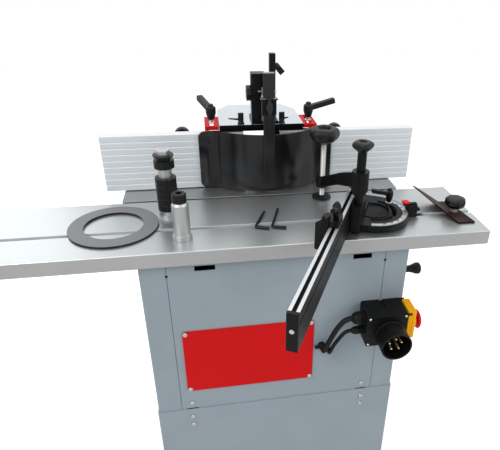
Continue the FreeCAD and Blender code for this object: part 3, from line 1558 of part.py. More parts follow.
def switch_flap():
    x0, x1 = flap_left, flap_left + flap_thick
    y0, y1 = flap_near, flap_far
    z0, z1 = flap_high - flap_h, flap_high
    shell = rounded(box(x0, x1, y0, y1, z0, z1), flap_margin, RIGHT)
    shell = shell.cut(box(x0 - overrun, x1 - flap_wall, y0 + flap_wall, y1 - flap_wall, z0 + flap_wall,
                          z1 - flap_wall))
    mid_y = cab_front - switch_depth / 2
    z = switch_low + mushroom_height
    boss = cyl(x1 - flap_wall, mid_y, z, mushroom_stem_r + flap_wall, flap_wall + mushroom_lift / 3, RIGHT)
    pins = [cyl(hinge_x, y0 - flap_margin + slide_gap, hinge_z, hinge_pin_r,
                flap_margin + flap_wall - slide_gap, BACK),
            cyl(hinge_x, y1 - flap_wall, hinge_z, hinge_pin_r, flap_margin + flap_wall - slide_gap, BACK)]
    shell = fuse([shell, boss] + pins)
    shell = shell.cut(cyl(x0 - overrun, mid_y, z, mushroom_stem_r + slide_gap, flap_thick + 2 * overrun, RIGHT))
    save("switch_flap", shell)


def stop_mushroom():
    mid_y = cab_front - switch_depth / 2
    z = switch_low + mushroom_height
    x1 = flap_left + flap_thick
    x2 = x1 + mushroom_lift
    head = cyl(x2, mid_y, z, mushroom_r, mushroom_h, RIGHT)
    head = head.makeFillet(mushroom_h / 3, [e for e in head.Edges if e.Curve.TypeId == "Part::GeomCircle"
                                            and e.BoundBox.XMin > x2 + mushroom_h / 2])
    stem = cyl(x1 - flap_thick / 2, mid_y, z, mushroom_stem_r, mushroom_lift + flap_thick / 2, RIGHT)
    save("stop_mushroom", fuse([head, stem]))


def start_button():
    mid_y = cab_front - switch_depth / 2
    button = cyl(switch_right - start_h, mid_y, switch_low + start_height, start_r, start_h * 2, RIGHT)
    save("start_button", button)


def gland(drop, r):
    z = table_height - drop
    x0 = switch_left - gland_long
    nut_share, neck_share = 0.45, 0.75
    body = fuse([cyl(switch_left - gland_long * nut_share, gland_y, z, r, gland_long * nut_share, RIGHT),
                 Part.makeCone(r * neck_share, r, gland_long * (1 - nut_share), V(x0, gland_y, z), RIGHT)])
    return body


def entry(point, r):
    # Rubber grommet where a lead goes through the front panel
    return cyl(point.x, cab_front - entry_h, point.z, r, entry_h, BACK)


def cable_glands():
    first = lead_one_points[-1]
    # A flat tail on the first grommet lies along the panel to the cover plate
    tail = box(cover_right + slide_gap, first.x, cab_front - entry_h / 2, cab_front, first.z - tail_h, first.z)
    glands = [gland(gland_one_drop, gland_one_r), gland(gland_two_drop, gland_two_r),
              fuse([entry(first, entry_one_r), tail]), entry(lead_two_points[-1], entry_two_r)]
    save("cable_glands", group(glands))


def lead(points, r):
    # A tube of straight runs and tangent arcs through the route's points
    share = 0.45
    edges = []
    start = points[0]
    radii = []
    for a, b, c in zip(points, points[1:], points[2:]):
        into, out = b.sub(a), c.sub(b)
        turn = into.getAngle(out)
        cut = share * min(into.Length, out.Length)
        p = b.sub(V(into).normalize() * cut)
        q = b.add(V(out).normalize() * cut)
        radius = cut / math.tan(turn / 2)
        radii.append(round(radius))
        inward = V(out).normalize().sub(V(into).normalize()).normalize()
        mid = b.add(inward * (radius / math.cos(turn / 2) - radius))
        edges.append(Part.LineSegment(start, p).toShape())
        edges.append(Part.Arc(p, mid, q).toShape())
        start = q
    edges.append(Part.LineSegment(start, points[-1]).toShape())
    path = Part.Wire(edges)
    first = points[1].sub(points[0])
    section = Part.Wire([Part.Circle(points[0], first, r).toShape()])
    tube = path.makePipeShell([section], True, False)
    length = path.Length
    print("lead length", round(length, 1), "radii", radii, "volume share",
          round(tube.Volume / (math.pi * r * r * length), 4))
    return tube


def switch_leads():
    save("switch_leads", group([lead(lead_one_points, lead_one_r), lead(lead_two_points, lead_two_r)]))


def fence_levers():
    mid = (ear_inner + ear_outer) / 2
    y = lid_front + lever_setback
    z = table_height + ear_top
    for name, side, turn in (("fence_lever_left", -1, lever_left_turn), ("fence_lever_right", 1, lever_right_turn)):
        x = side * mid
        lever = clamp_lever(x, y, z + lever_stand, lever_hub_r, lever_hub_h, lever_arm, turn)
        low = z - ear_thick - slide_gap
        stud = cyl(x, y, low - lever_nut_h, lever_stud_r, lever_nut_h + slide_gap + ear_thick + lever_stand)
        nut = cyl(x, y, low - lever_nut_h, lever_nut / 2, lever_nut_h)
        washer = cyl(x, y, z + slide_gap, lever_nut / 2, sheet)
        save(name, fuse([lever, stud, nut, washer]))


os.makedirs("parts", exist_ok=True)
stand_shell()
cabinet_shell()
front_panel()
cover_plate()
iron_table()
save("insert_ring", table_ring(0, spindle_y, table_height - ring_thick, ring_outer_r, ring_thick))
slide_rail()
sliding_table()
quill_housing()
quill()
lift_rack()
pinion_shaft()
shaft_bush()
handwheel()
handwheel_grip()
spindle_shaft()
save("spindle_pulley", pulley(0, spindle_pulley_r, shaft_r + snug_fit))
motor_pulley()
drive_belt()
motor_plate()
motor_body()
save("fence_left", fence_half(fence_left_outer, -fence_mouth / 2))
save("fence_right", fence_half(fence_mouth / 2, fence_right_outer))
save("housing_left", housing_side(-1))
save("housing_right", housing_side(1))
housing_rear_plate()
dust_port()
fence_lid()
clamp_knobs()
fence_levers()
guard_bracket()
guard_arm()
guard_hood()
mitre_base()
angle_pointer()
protractor()
angle_scale()
holddown_post()
mitre_lever()
mitre_fence()
stop_carrier()
flip_stop()
holddown_arm()
press_pad()
press_screw()
edging_shoe()
shoe_knob()
save("spare_ring", table_ring(spare_ring_x, slide_front + spare_ring_inset, table_height, spare_ring_r,
                              spare_ring_thick))
spare_spindles()
spare_collars_and_nut()
hex_keys()
switch_box()
mains_inlet()
screws_and_pins()
switch_flap()
stop_mushroom()
start_button()
cable_glands()
switch_leads()
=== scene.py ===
import json
import math
import bpy
from mathutils import Matrix, Vector


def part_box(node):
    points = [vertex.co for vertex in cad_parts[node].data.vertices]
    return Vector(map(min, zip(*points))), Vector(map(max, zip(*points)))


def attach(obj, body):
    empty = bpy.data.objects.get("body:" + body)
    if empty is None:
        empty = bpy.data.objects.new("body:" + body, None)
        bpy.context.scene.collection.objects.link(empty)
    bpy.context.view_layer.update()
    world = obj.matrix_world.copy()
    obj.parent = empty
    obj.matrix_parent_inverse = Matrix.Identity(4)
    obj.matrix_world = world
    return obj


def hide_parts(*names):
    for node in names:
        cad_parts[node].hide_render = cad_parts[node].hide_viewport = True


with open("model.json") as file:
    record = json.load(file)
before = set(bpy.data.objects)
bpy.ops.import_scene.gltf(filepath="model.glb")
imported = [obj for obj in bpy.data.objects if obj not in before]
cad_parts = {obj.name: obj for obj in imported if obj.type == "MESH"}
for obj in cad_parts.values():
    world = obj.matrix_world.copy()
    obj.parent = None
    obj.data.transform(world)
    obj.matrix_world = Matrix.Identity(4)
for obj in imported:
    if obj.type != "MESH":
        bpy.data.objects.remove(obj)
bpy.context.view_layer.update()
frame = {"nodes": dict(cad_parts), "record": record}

scene = bpy.context.scene
scene.view_settings.view_transform = "Standard"
bpy.ops.object.select_all(action="DESELECT")

# Camera: where the picture was taken from, a little left of the machine and looking down on its tables.
# The picture is 500 by 450 and a crop of a larger one, so its middle isn't on the lens axis.
picture_width, picture_height = 500, 450
lens_px = 507.944
axis_px = (302.488, 232.913)
eye = Vector((-0.1209, -1.0698, 1.3149))
yaw, pitch, roll = (math.radians(a) for a in (11.37, 28.48, -1.69))
forward = Vector((math.sin(yaw) * math.cos(pitch), math.cos(yaw) * math.cos(pitch), -math.sin(pitch)))
level = Vector((math.cos(yaw), -math.sin(yaw), 0))
down = forward.cross(level)
right = level * math.cos(roll) + down * math.sin(roll)
down = down * math.cos(roll) - level * math.sin(roll)
camera_data = bpy.data.cameras.new("camera")
camera_data.sensor_width = 36
camera_data.lens = lens_px * camera_data.sensor_width / picture_width
camera_data.shift_x = (picture_width / 2 - axis_px[0]) / picture_width
camera_data.shift_y = (axis_px[1] - picture_height / 2) / picture_width
camera = bpy.data.objects.new("camera", camera_data)
camera.matrix_world = Matrix.Translation(eye) @ Matrix((right, -down, -forward)).transposed().to_4x4()
scene.collection.objects.link(camera)
scene.camera = camera

# Studio: a pale sweep of floor under the machine, a bright even room and four large soft lamps.
# Rays straight to the lens, and those off metal, see the white room; the floor keeps the shadow.
room_light = 0.55
white = (1, 1, 1, 1)
world = bpy.data.worlds.new("room")
scene.world = world
world.use_nodes = True
sky = world.node_tree.nodes
wires = world.node_tree.links
sky["Background"].inputs["Color"].default_value = white
sky["Background"].inputs["Strength"].default_value = room_light
bright = sky.new("ShaderNodeBackground")
bright.inputs["Color"].default_value = white
bright.inputs["Strength"].default_value = 1
path = sky.new("ShaderNodeLightPath")
seen = sky.new("ShaderNodeMath")
seen.operation = "MAXIMUM"
clear = sky.new("ShaderNodeMath")
clear.operation = "MAXIMUM"
choose = sky.new("ShaderNodeMixShader")
wires.new(path.outputs["Is Camera Ray"], seen.inputs[0])
wires.new(path.outputs["Is Glossy Ray"], seen.inputs[1])
wires.new(seen.outputs[0], clear.inputs[0])
wires.new(path.outputs["Is Transmission Ray"], clear.inputs[1])
wires.new(clear.outputs[0], choose.inputs["Fac"])
wires.new(sky["Background"].outputs[0], choose.inputs[1])
wires.new(bright.outputs[0], choose.inputs[2])
wires.new(choose.outputs[0], sky["World Output"].inputs["Surface"])

floor_half = 6
floor_glow = 0.5
bpy.ops.mesh.primitive_plane_add(size=2 * floor_half, location=(0, 0, 0))
floor = bpy.context.object
floor.name = "floor"
floor_paint = bpy.data.materials.new("floor_paint")
floor_paint.use_nodes = True
tree = floor_paint.node_tree
tree.nodes["Principled BSDF"].inputs["Base Color"].default_value = (0.9, 0.9, 0.9, 1)
tree.nodes["Principled BSDF"].inputs["Roughness"].default_value = 0.9
glow = tree.nodes.new("ShaderNodeEmission")
path = tree.nodes.new("ShaderNodeLightPath")
both = tree.nodes.new("ShaderNodeAddShader")
lift = tree.nodes.new("ShaderNodeMath")
lift.operation = "MULTIPLY"
lift.inputs[1].default_value = floor_glow
tree.links.new(path.outputs["Is Camera Ray"], lift.inputs[0])
tree.links.new(lift.outputs[0], glow.inputs["Strength"])
tree.links.new(tree.nodes["Principled BSDF"].outputs[0], both.inputs[0])
tree.links.new(glow.outputs[0], both.inputs[1])
tree.links.new(both.outputs[0], tree.nodes["Material Output"].inputs["Surface"])
floor.data.materials.append(floor_paint)

lamp_aim = Vector((0, 0, 0.85))
lamps = (("key", (-1.6, -1.5, 2.9), 34, 1.6), ("fill", (2.0, -1.4, 2.0), 14, 1.6),
         ("top", (0.2, 0.8, 3.1), 18, 2.0), ("rear", (-1.4, 1.6, 1.9), 4.5, 1.2))
for name, place, power, size in lamps:
    lamp_data = bpy.data.lights.new(name, "AREA")
    lamp_data.energy = power
    lamp_data.size = size
    lamp = bpy.data.objects.new(name, lamp_data)
    lamp.location = place
    lamp.rotation_euler = (lamp_aim - lamp.location).to_track_quat("-Z", "Y").to_euler()
    scene.collection.objects.link(lamp)

# Sheet-metal stand, cabinet and front panel: folded steel sheet, screwed together, with a grey-blue
# powder coat that has a fine orange-peel skin. The folds are a little rounded, as a press brake
# leaves them.
nodes = frame["nodes"]
record = frame["record"]
body_of = {node: body for body, held in record["behaviour"]["bodies"].items() for node in held}


def speckle_group():
    # The same speckle serves every paint and plastic here, each with its own scale and depth
    group = bpy.data.node_groups.new("speckle", "ShaderNodeTree")
    for name in ("Scale", "Spread", "Middle"):
        group.interface.new_socket(name, in_out="INPUT", socket_type="NodeSocketFloat")
    for name in ("Height", "Roughness", "Shade"):
        group.interface.new_socket(name, in_out="OUTPUT", socket_type="NodeSocketFloat")
    into = group.nodes.new("NodeGroupInput")
    out = group.nodes.new("NodeGroupOutput")
    place = group.nodes.new("ShaderNodeTexCoord")
    fine = group.nodes.new("ShaderNodeTexNoise")
    fine.inputs["Detail"].default_value = 3
    broad = group.nodes.new("ShaderNodeTexNoise")
    broad.inputs["Scale"].default_value = 14
    broad.inputs["Detail"].default_value = 4
    spread = group.nodes.new("ShaderNodeMath")
    spread.operation = "MULTIPLY_ADD"
    centred = group.nodes.new("ShaderNodeMath")
    centred.operation = "SUBTRACT"
    centred.inputs[1].default_value = 0.5
    shade = group.nodes.new("ShaderNodeMapRange")
    shade.inputs["To Min"].default_value = 0.92
    shade.inputs["To Max"].default_value = 1.08
    group.links.new(place.outputs["Object"], fine.inputs["Vector"])
    group.links.new(place.outputs["Object"], broad.inputs["Vector"])
    group.links.new(into.outputs["Scale"], fine.inputs["Scale"])
    group.links.new(fine.outputs["Fac"], out.inputs["Height"])
    group.links.new(broad.outputs["Fac"], centred.inputs[0])
    group.links.new(centred.outputs[0], spread.inputs[0])
    group.links.new(into.outputs["Spread"], spread.inputs[1])
    group.links.new(into.outputs["Middle"], spread.inputs[2])
    group.links.new(spread.outputs[0], out.inputs["Roughness"])
    group.links.new(broad.outputs["Fac"], shade.inputs["Value"])
    group.links.new(shade.outputs["Result"], out.inputs["Shade"])
    return group


speckle = speckle_group()
# Where a Mix node has its two colours and its result among its sockets
MIX_A, MIX_B, MIX_RESULT = 6, 7, 2
BUMP_DISTANCE = 0.001


def coat(name, colour, roughness, metallic=0.0, scale=900, depth=0.03, spread=0.12, sheen=0.2):
    # A painted, plated or moulded surface: its colour shaded a little by the speckle, with a fine skin
    made = bpy.data.materials.new(name)
    made.use_nodes = True
    tree = made.node_tree
    shader = tree.nodes["Principled BSDF"]
    shader.inputs["Metallic"].default_value = metallic
    shader.inputs["Specular IOR Level"].default_value = sheen
    skin = tree.nodes.new("ShaderNodeGroup")
    skin.node_tree = speckle
    skin.inputs["Scale"].default_value = scale
    skin.inputs["Spread"].default_value = spread
    skin.inputs["Middle"].default_value = roughness
    tint = tree.nodes.new("ShaderNodeMix")
    tint.data_type = "RGBA"
    tint.blend_type = "MULTIPLY"
    tint.inputs["Factor"].default_value = 1
    tint.inputs[MIX_A].default_value = (*colour, 1)
    bump = tree.nodes.new("ShaderNodeBump")
    bump.inputs["Strength"].default_value = depth
    bump.inputs["Distance"].default_value = BUMP_DISTANCE
    tree.links.new(skin.outputs["Shade"], tint.inputs[MIX_B])
    tree.links.new(tint.outputs[MIX_RESULT], shader.inputs["Base Color"])
    tree.links.new(skin.outputs["Roughness"], shader.inputs["Roughness"])
    tree.links.new(skin.outputs["Height"], bump.inputs["Height"])
    tree.links.new(bump.outputs["Normal"], shader.inputs["Normal"])
    return made


def only(piece):
    # This piece alone selected, so that the next operator acts on nothing else
    bpy.ops.object.select_all(action="DESELECT")
    piece.select_set(True)
    bpy.context.view_layer.objects.active = piece


def settled(piece):
    # The piece's place, turn and size go into its mesh, and its object stays at the origin
    only(piece)
    bpy.ops.object.transform_apply(location=True, rotation=True, scale=True)
    return piece


def smoothed(piece, angle):
    # Soft shading, with a line left at each edge that is sharper than the angle
    only(piece)
    bpy.ops.object.shade_smooth_by_angle(angle=math.radians(angle))


def added(piece, name, material, body):
    # A finished piece that is carried by that body
    settled(piece)
    piece.name = name
    piece.data.name = name
    piece.data.materials.clear()
    piece.data.materials.append(material)
    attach(piece, body)
    return piece


def stand_for(piece, name, material, node):
    # A finished piece that moves with the body of that CAD node and is shown for it
    added(piece, name, material, body_of[node])
    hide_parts(node)
    return piece


def broken(piece, width, least=0.0):
    # Sharp edges longer than least taken off by that width, with the flat faces kept flat
    sharp_angle = 35
    only(piece)
    bpy.ops.object.mode_set(mode="EDIT")
    bpy.ops.mesh.select_mode(type="EDGE")
    bpy.ops.mesh.select_all(action="DESELECT")
    bpy.ops.mesh.edges_select_sharp(sharpness=math.radians(sharp_angle))
    bpy.ops.object.mode_set(mode="OBJECT")
    mesh = piece.data
    weight = mesh.attributes.new("bevel_weight_edge", "FLOAT", "EDGE")
    for edge in mesh.edges:
        a, b = (mesh.vertices[i].co for i in edge.vertices)
        weight.data[edge.index].value = float(edge.select and (a - b).length >= least)
    bevel = piece.modifiers.new("edge", "BEVEL")
    bevel.width = width
    bevel.segments = 2
    bevel.limit_method = "WEIGHT"
    bevel.use_clamp_overlap = False
    bpy.ops.object.modifier_apply(modifier="edge")
    smoothed(piece, sharp_angle)
    flat = piece.modifiers.new("flat", "WEIGHTED_NORMAL")
    flat.keep_sharp = True
    bpy.ops.object.modifier_apply(modifier="flat")


def eased(node, width, material, least=0.0, shape=None):
    # A copy of the CAD piece with its flat facets merged, shaped further where asked, and its edges
    # taken off
    same_point, same_plane = 0.00001, math.radians(0.3)
    piece = bpy.data.objects.new(node + "_skin", nodes[node].data.copy())
    scene.collection.objects.link(piece)
    only(piece)
    bpy.ops.object.mode_set(mode="EDIT")
    bpy.ops.mesh.select_all(action="SELECT")
    bpy.ops.mesh.remove_doubles(threshold=same_point)
    bpy.ops.mesh.dissolve_limited(angle_limit=same_plane)
    bpy.ops.object.mode_set(mode="OBJECT")
    if shape:
        shape(piece)
    broken(piece, width, least)
    return stand_for(piece, node + "_skin", material, node)


cabinet_paint = coat("cabinet_paint", (0.31, 0.368, 0.41), 0.5, scale=700, depth=0.05)
for node, fold in (("stand_shell", 0.0012), ("cabinet_shell", 0.0005), ("front_panel", 0.0005)):
    eased(node, fold, cabinet_paint, least=0.05)


# Catches of the front panel: two small black plastic pins pressed into its side seams, and the two
# narrow openings below its screws where the panel hooks over the stand. Each opening is drawn as a thin
# black strip on the panel, painted shade.
def at(x, y, z):
    # A place given in millimetres
    return Vector((x, y, z)) / 1000


def turned(profile, place, turn=(0, 0, 0), sides=32):
    # A disc of the first radius grown along its axis from step to step, as on a lathe, in millimetres
    bpy.ops.mesh.primitive_circle_add(vertices=sides, radius=profile[0][0] / 1000, fill_type="NGON",
                                      location=(0, 0, 0))
    piece = bpy.context.object
    bpy.ops.object.mode_set(mode="EDIT")
    bpy.ops.mesh.select_all(action="SELECT")
    bpy.ops.transform.translate(value=(0, 0, profile[0][1] / 1000))
    for (r0, z0), (r1, z1) in zip(profile, profile[1:]):
        bpy.ops.mesh.extrude_region_move(TRANSFORM_OT_translate={"value": (0, 0, (z1 - z0) / 1000)})
        bpy.ops.transform.resize(value=(r1 / r0, r1 / r0, 1), center_override=(0, 0, 0))
    bpy.ops.mesh.select_all(action="SELECT")
    bpy.ops.mesh.normals_make_consistent(inside=False)
    bpy.ops.object.mode_set(mode="OBJECT")
    piece.location = at(*place)
    piece.rotation_euler = [math.radians(a) for a in turn]
    return settled(piece)


def block(low, high):
    # A square-edged block between two corners in millimetres
    low, high = at(*low), at(*high)
    bpy.ops.mesh.primitive_cube_add(size=1, location=(low + high) / 2)
    piece = bpy.context.object
    piece.scale = high - low
    return settled(piece)


# Turns that point a lathed piece's axis out of the front or to the right
FRONT = (90, 0, 0)
RIGHT = (0, 90, 0)
panel_face = -260
black_plastic = coat("black_plastic", (0.006, 0.006, 0.006), 0.45, scale=1200, depth=0.05, sheen=0.22)
seam_x, seam_pin_z = 210.2, 794
for name, side in (("seam_pin_left", -1), ("seam_pin_right", 1)):
    pin = turned([(2.6, -1), (2.6, 0.6), (1.8, 1.2)], (seam_x * side, panel_face, seam_pin_z), FRONT, 20)
    broken(pin, 0.0002)
    added(pin, name, black_plastic, "root")
hook_x, opening_half = 187.5, 12
# A thin black strip proud of the panel stands for each opening: painted shade
for name, side in (("panel_opening_shade_left", -1), ("panel_opening_shade_right", 1)):
    x = hook_x * side
    opening_strip = block((x - opening_half, -260.4, 452.3), (x + opening_half, -259.5, 454.3))
    broken(opening_strip, 0.0002)
    added(opening_strip, name, black_plastic, "root")

# Cover plate over the belt hatch: thin steel sheet cut square and sprayed glossy red, held flat on the
# front panel by a screw in each corner.
red_paint = coat("red_paint", (0.64, 0.008, 0.01), 0.4, scale=500, depth=0.02, sheen=0.06)
eased("cover_plate", 0.0005, red_paint, least=0.05)


# Pan-head screws: zinc-plated steel with a cross recess, one in each corner of the cover, and in the
# panel and the stand below it. The plug inlet's brass pins are turned in the same way.
def cut(piece, tool):
    # What the tool fills is taken out of the piece, and the tool goes
    only(piece)
    gap = piece.modifiers.new("gap", "BOOLEAN")
    gap.object = tool
    gap.operation = "DIFFERENCE"
    bpy.ops.object.modifier_apply(modifier="gap")
    bpy.data.objects.remove(tool)


screw_steel = coat("screw_steel", (0.62, 0.62, 0.62), 0.3, metallic=1)
screw = turned([(4.6, 0), (5, 0.4), (5, 1.4), (4.4, 2.4), (3.0, 3.0)], (0, 0, 0))
recess_half, recess_floor = 0.55, 1.6
cut(screw, block((-3, -recess_half, recess_floor), (3, recess_half, 4)))
cut(screw, block((-recess_half, -3, recess_floor), (recess_half, 3, 4)))
smoothed(screw, 35)
cover_face = stand_face = -262
screw_places = [(x, cover_face, z) for x in (-188, 66) for z in (511.5, 657)]
screw_places += [(x, panel_face, 469) for x in (-hook_x, hook_x)]
screw_places += [(x, stand_face, z) for x in (-189, 189) for z in (431, 407)]
for i, place in enumerate(screw_places):
    copy = screw.copy()
    copy.data = screw.data.copy()
    scene.collection.objects.link(copy)
    copy.location = at(*place)
    copy.rotation_euler = [math.radians(a) for a in FRONT]
    stand_for(copy, "pan_screw_%d" % (i + 1), screw_steel, "screws_and_pins")
bpy.data.objects.remove(screw)
brass = coat("brass", (0.86, 0.7, 0.45), 0.3, metallic=0.8)
inlet_x, inlet_z = 218.5, 649
pin_count, pin_circle, pin_foot = 5, 13, -320
for i in range(pin_count):
    turn = 2 * math.pi * i / pin_count + math.pi / 2
    place = (inlet_x + pin_circle * math.cos(turn), pin_foot, inlet_z + pin_circle * math.sin(turn))
    pin = turned([(2.4, 0), (2.4, 24), (1.5, 25.5)], place, FRONT, 20)
    broken(pin, 0.0002)
    stand_for(pin, "inlet_pin_%d" % (i + 1), brass, "screws_and_pins")


# Tables: cast iron ground flat, and the extruded aluminium table that slides in front of it on a steel
# rail, with the long fine lines that grinding and drawing leave along them.
def brushed(name, colour, roughness, along, lines=500, metallic=1.0):
    # Metal with fine lines, drawn out the way that along shrinks the pattern's lengths
    made = bpy.data.materials.new(name)
    made.use_nodes = True
    tree = made.node_tree
    shader = tree.nodes["Principled BSDF"]
    shader.inputs["Metallic"].default_value = metallic
    place = tree.nodes.new("ShaderNodeTexCoord")
    stretch = tree.nodes.new("ShaderNodeMapping")
    stretch.inputs["Scale"].default_value = along
    grain = tree.nodes.new("ShaderNodeTexNoise")
    grain.inputs["Scale"].default_value = lines
    grain.inputs["Detail"].default_value = 4
    rough = tree.nodes.new("ShaderNodeMapRange")
    rough.inputs["To Min"].default_value = roughness * 0.93
    rough.inputs["To Max"].default_value = roughness * 1.07
    tint = tree.nodes.new("ShaderNodeMix")
    tint.data_type = "RGBA"
    tint.inputs[MIX_A].default_value = (*[c * 0.97 for c in colour], 1)
    tint.inputs[MIX_B].default_value = (*[min(1, c * 1.03) for c in colour], 1)
    bump = tree.nodes.new("ShaderNodeBump")
    bump.inputs["Strength"].default_value = 0.004
    bump.inputs["Distance"].default_value = BUMP_DISTANCE
    tree.links.new(place.outputs["Object"], stretch.inputs["Vector"])
    tree.links.new(stretch.outputs["Vector"], grain.inputs["Vector"])
    tree.links.new(grain.outputs["Fac"], rough.inputs["Value"])
    tree.links.new(grain.outputs["Fac"], tint.inputs["Factor"])
    tree.links.new(grain.outputs["Fac"], bump.inputs["Height"])
    tree.links.new(rough.outputs["Result"], shader.inputs["Roughness"])
    tree.links.new(tint.outputs[MIX_RESULT], shader.inputs["Base Color"])
    tree.links.new(bump.outputs["Normal"], shader.inputs["Normal"])
    return made


def painted(piece, material, where):
    # A second finish on the faces that where() picks by their middle, in millimetres, and their normal
    piece.data.materials.append(material)
    last = len(piece.data.materials) - 1
    for face in piece.data.polygons:
        if where(face.center * 1000, face.normal):
            face.material_index = last


def dress(material, *names):
    # CAD pieces that keep their own shape and get this finish
    for name in names:
        mesh = nodes[name].data
        mesh.materials.clear()
        mesh.materials.append(material)


along_table = (0.03, 1, 1)
ground_iron = brushed("ground_iron", (0.43, 0.43, 0.425), 0.42, along_table)
eased("iron_table", 0.0006, ground_iron, least=0.05)
table_aluminium = brushed("table_aluminium", (0.52, 0.545, 0.555), 0.3, along_table, metallic=0.85)
table = eased("sliding_table", 0.0006, table_aluminium, least=0.05)
# The table's front face gets a darker, duller copy of its metal: painted shade for its dimmer reflection
table_front_painted_shade = coat("table_front_painted_shade", (0.44, 0.445, 0.44), 0.5, metallic=0.2)
painted(table, table_front_painted_shade, lambda c, n: n.y < -0.6 and c.y < -271)
# The walls and floor of the T-slot are painted lighter than the table: painted light in the recess
slot_painted_light = coat("slot_painted_light", (0.62, 0.64, 0.645), 0.5)
slot_y, slot_half, below_top = -183.5, 11, 849.9
painted(table, slot_painted_light, lambda c, n: abs(c.y - slot_y) < slot_half and c.z < below_top)
dark_iron = coat("dark_iron", (0.1, 0.1, 0.105), 0.45, metallic=0.3, scale=1400)
eased("insert_ring", 0.0004, dark_iron)
steel = brushed("turned_steel", (0.5, 0.5, 0.5), 0.42, (0.05, 0.05, 1), lines=900)
dress(steel, "slide_rail")

# Lift and spindle inside the cabinet: cast quill housing, steel quill, rack and spindle, aluminium
# pulleys, rubber belt and the motor. They are seen only when the covers are off, so they keep the
# shapes they were cut to.
across_pulley = (1, 0.05, 1)
pulley_aluminium = brushed("pulley_aluminium", (0.7, 0.71, 0.72), 0.3, across_pulley)
motor_paint = coat("motor_paint", (0.2, 0.22, 0.24), 0.45)
rubber = coat("rubber", (0.006, 0.006, 0.006), 0.5)
dress(dark_iron, "quill_housing", "motor_plate")
dress(steel, "quill", "lift_rack", "pinion_shaft", "spindle_shaft")
dress(pulley_aluminium, "spindle_pulley", "motor_pulley")
dress(motor_paint, "motor_body")
dress(rubber, "drive_belt")

# Hand wheel on the right: a cast wheel painted black and fixed on its shaft, with a turned plastic grip
# that spins on a pin in its rim. The shaft runs in a plastic bush in the cabinet's side.
black_paint = coat("black_paint", (0.004, 0.004, 0.0045), 0.34, scale=900, depth=0.03, sheen=0.17)
eased("handwheel", 0.0006, black_paint)
grip = turned([(8, 309), (9.6, 311), (10, 316), (9.4, 334), (8.4, 350), (8.8, 358), (11, 366), (14, 373),
               (14.8, 378), (14.2, 383), (11, 385.5), (6, 386)], (0, -60.8, 633.9), RIGHT, 48)
smoothed(grip, 40)
stand_for(grip, "grip_moulding", black_plastic, "handwheel_grip")
dress(black_plastic, "shaft_bush")

# Fences: two lengths of grooved aluminium extrusion, silver anodised, one on each side of the cutter.
# Each slides along the housing and is clamped from behind. The faces in the grooves get a lighter
# paint: a painted highlight.
fence_aluminium = brushed("fence_aluminium", (0.74, 0.78, 0.81), 0.5, along_table, metallic=0.35)
groove_painted_highlight = coat("groove_painted_highlight", (0.86, 0.89, 0.91), 0.5)
for node in ("fence_left", "fence_right"):
    fence = eased(node, 0.0003, fence_aluminium, least=0.02)
    # The groove faces are painted lighter than the fence: painted highlight
    painted(fence, groove_painted_highlight, lambda c, n: 12.7 < c.y < 16 and 856 < c.z < 972 and abs(n.x) < 0.5)

# Cutter housing: welded sheet steel painted red, with ears on its sides for the fence levers, and a rear
# plate that carries the black plastic port for the dust hose.
for node in ("housing_left", "housing_right", "housing_rear"):
    eased(node, 0.0006, red_paint, least=0.008)
dress(black_plastic, "dust_port")

# Housing lid: pale bluish sheet with a polished look, held by two wing screws, and a black band folded
# down along its front.
lid_sheet = coat("lid_sheet", (0.68, 0.73, 0.77), 0.16, metallic=0.85, depth=0.01, spread=0.05)
lid = eased("fence_lid", 0.0005, lid_sheet, least=0.02)
painted(lid, black_paint, lambda c, n: c.y < 20.9 and (c.z < 990.5 or n.y < -0.5))


# Clamping screws and knobs of the lid, fences and guard: black plastic moulded with soft edges, on
# bright steel studs.
def rod(a, b, r_a, r_b):
    # A round bar between two places in millimetres, with a radius at each end
    a, b = at(*a), at(*b)
    bpy.ops.mesh.primitive_cone_add(vertices=24, radius1=r_a / 1000, radius2=r_b / 1000,
                                    depth=(b - a).length, location=(a + b) / 2,
                                    rotation=(b - a).to_track_quat("Z", "Y").to_euler())
    return bpy.context.object


def ball(place, r):
    bpy.ops.mesh.primitive_uv_sphere_add(segments=24, ring_count=12, radius=r / 1000, location=at(*place))
    return bpy.context.object


def flat_bar(a, b, wide, tall, spread=1.0):
    # A flat bar from a to b in millimetres, its far end larger by spread
    a, b = at(*a), at(*b)
    bpy.ops.mesh.primitive_cube_add(size=1, location=(0, 0, 0))
    piece = bpy.context.object
    piece.scale = (wide / 1000, tall / 1000, (b - a).length)
    bpy.ops.object.transform_apply(location=False, rotation=False, scale=True)
    for corner in piece.data.vertices:
        corner.select = corner.co.z > 0
    bpy.ops.object.mode_set(mode="EDIT")
    bpy.ops.mesh.select_mode(type="VERT")
    bpy.ops.transform.resize(value=(spread, spread, 1), center_override=(0, 0, 0))
    bpy.ops.object.mode_set(mode="OBJECT")
    piece.location = (a + b) / 2
    piece.rotation_euler = (b - a).to_track_quat("Z", "Y").to_euler()
    return piece


def joined(pieces):
    # All the pieces made one, on the first of them
    bpy.ops.object.select_all(action="DESELECT")
    for piece in pieces:
        piece.select_set(True)
    bpy.context.view_layer.objects.active = pieces[0]
    bpy.ops.object.join()
    return pieces[0]


def moulded(lumps, voxel=0.7, passes=5):
    # Overlapping lumps run together into one moulding with soft joins
    piece = settled(joined(lumps))
    skin = piece.modifiers.new("skin", "REMESH")
    skin.mode = "VOXEL"
    skin.voxel_size = voxel / 1000
    bpy.ops.object.modifier_apply(modifier="skin")
    soft = piece.modifiers.new("soft", "SMOOTH")
    soft.factor = 0.5
    soft.iterations = passes
    bpy.ops.object.modifier_apply(modifier="soft")
    bpy.ops.object.shade_smooth()
    return piece


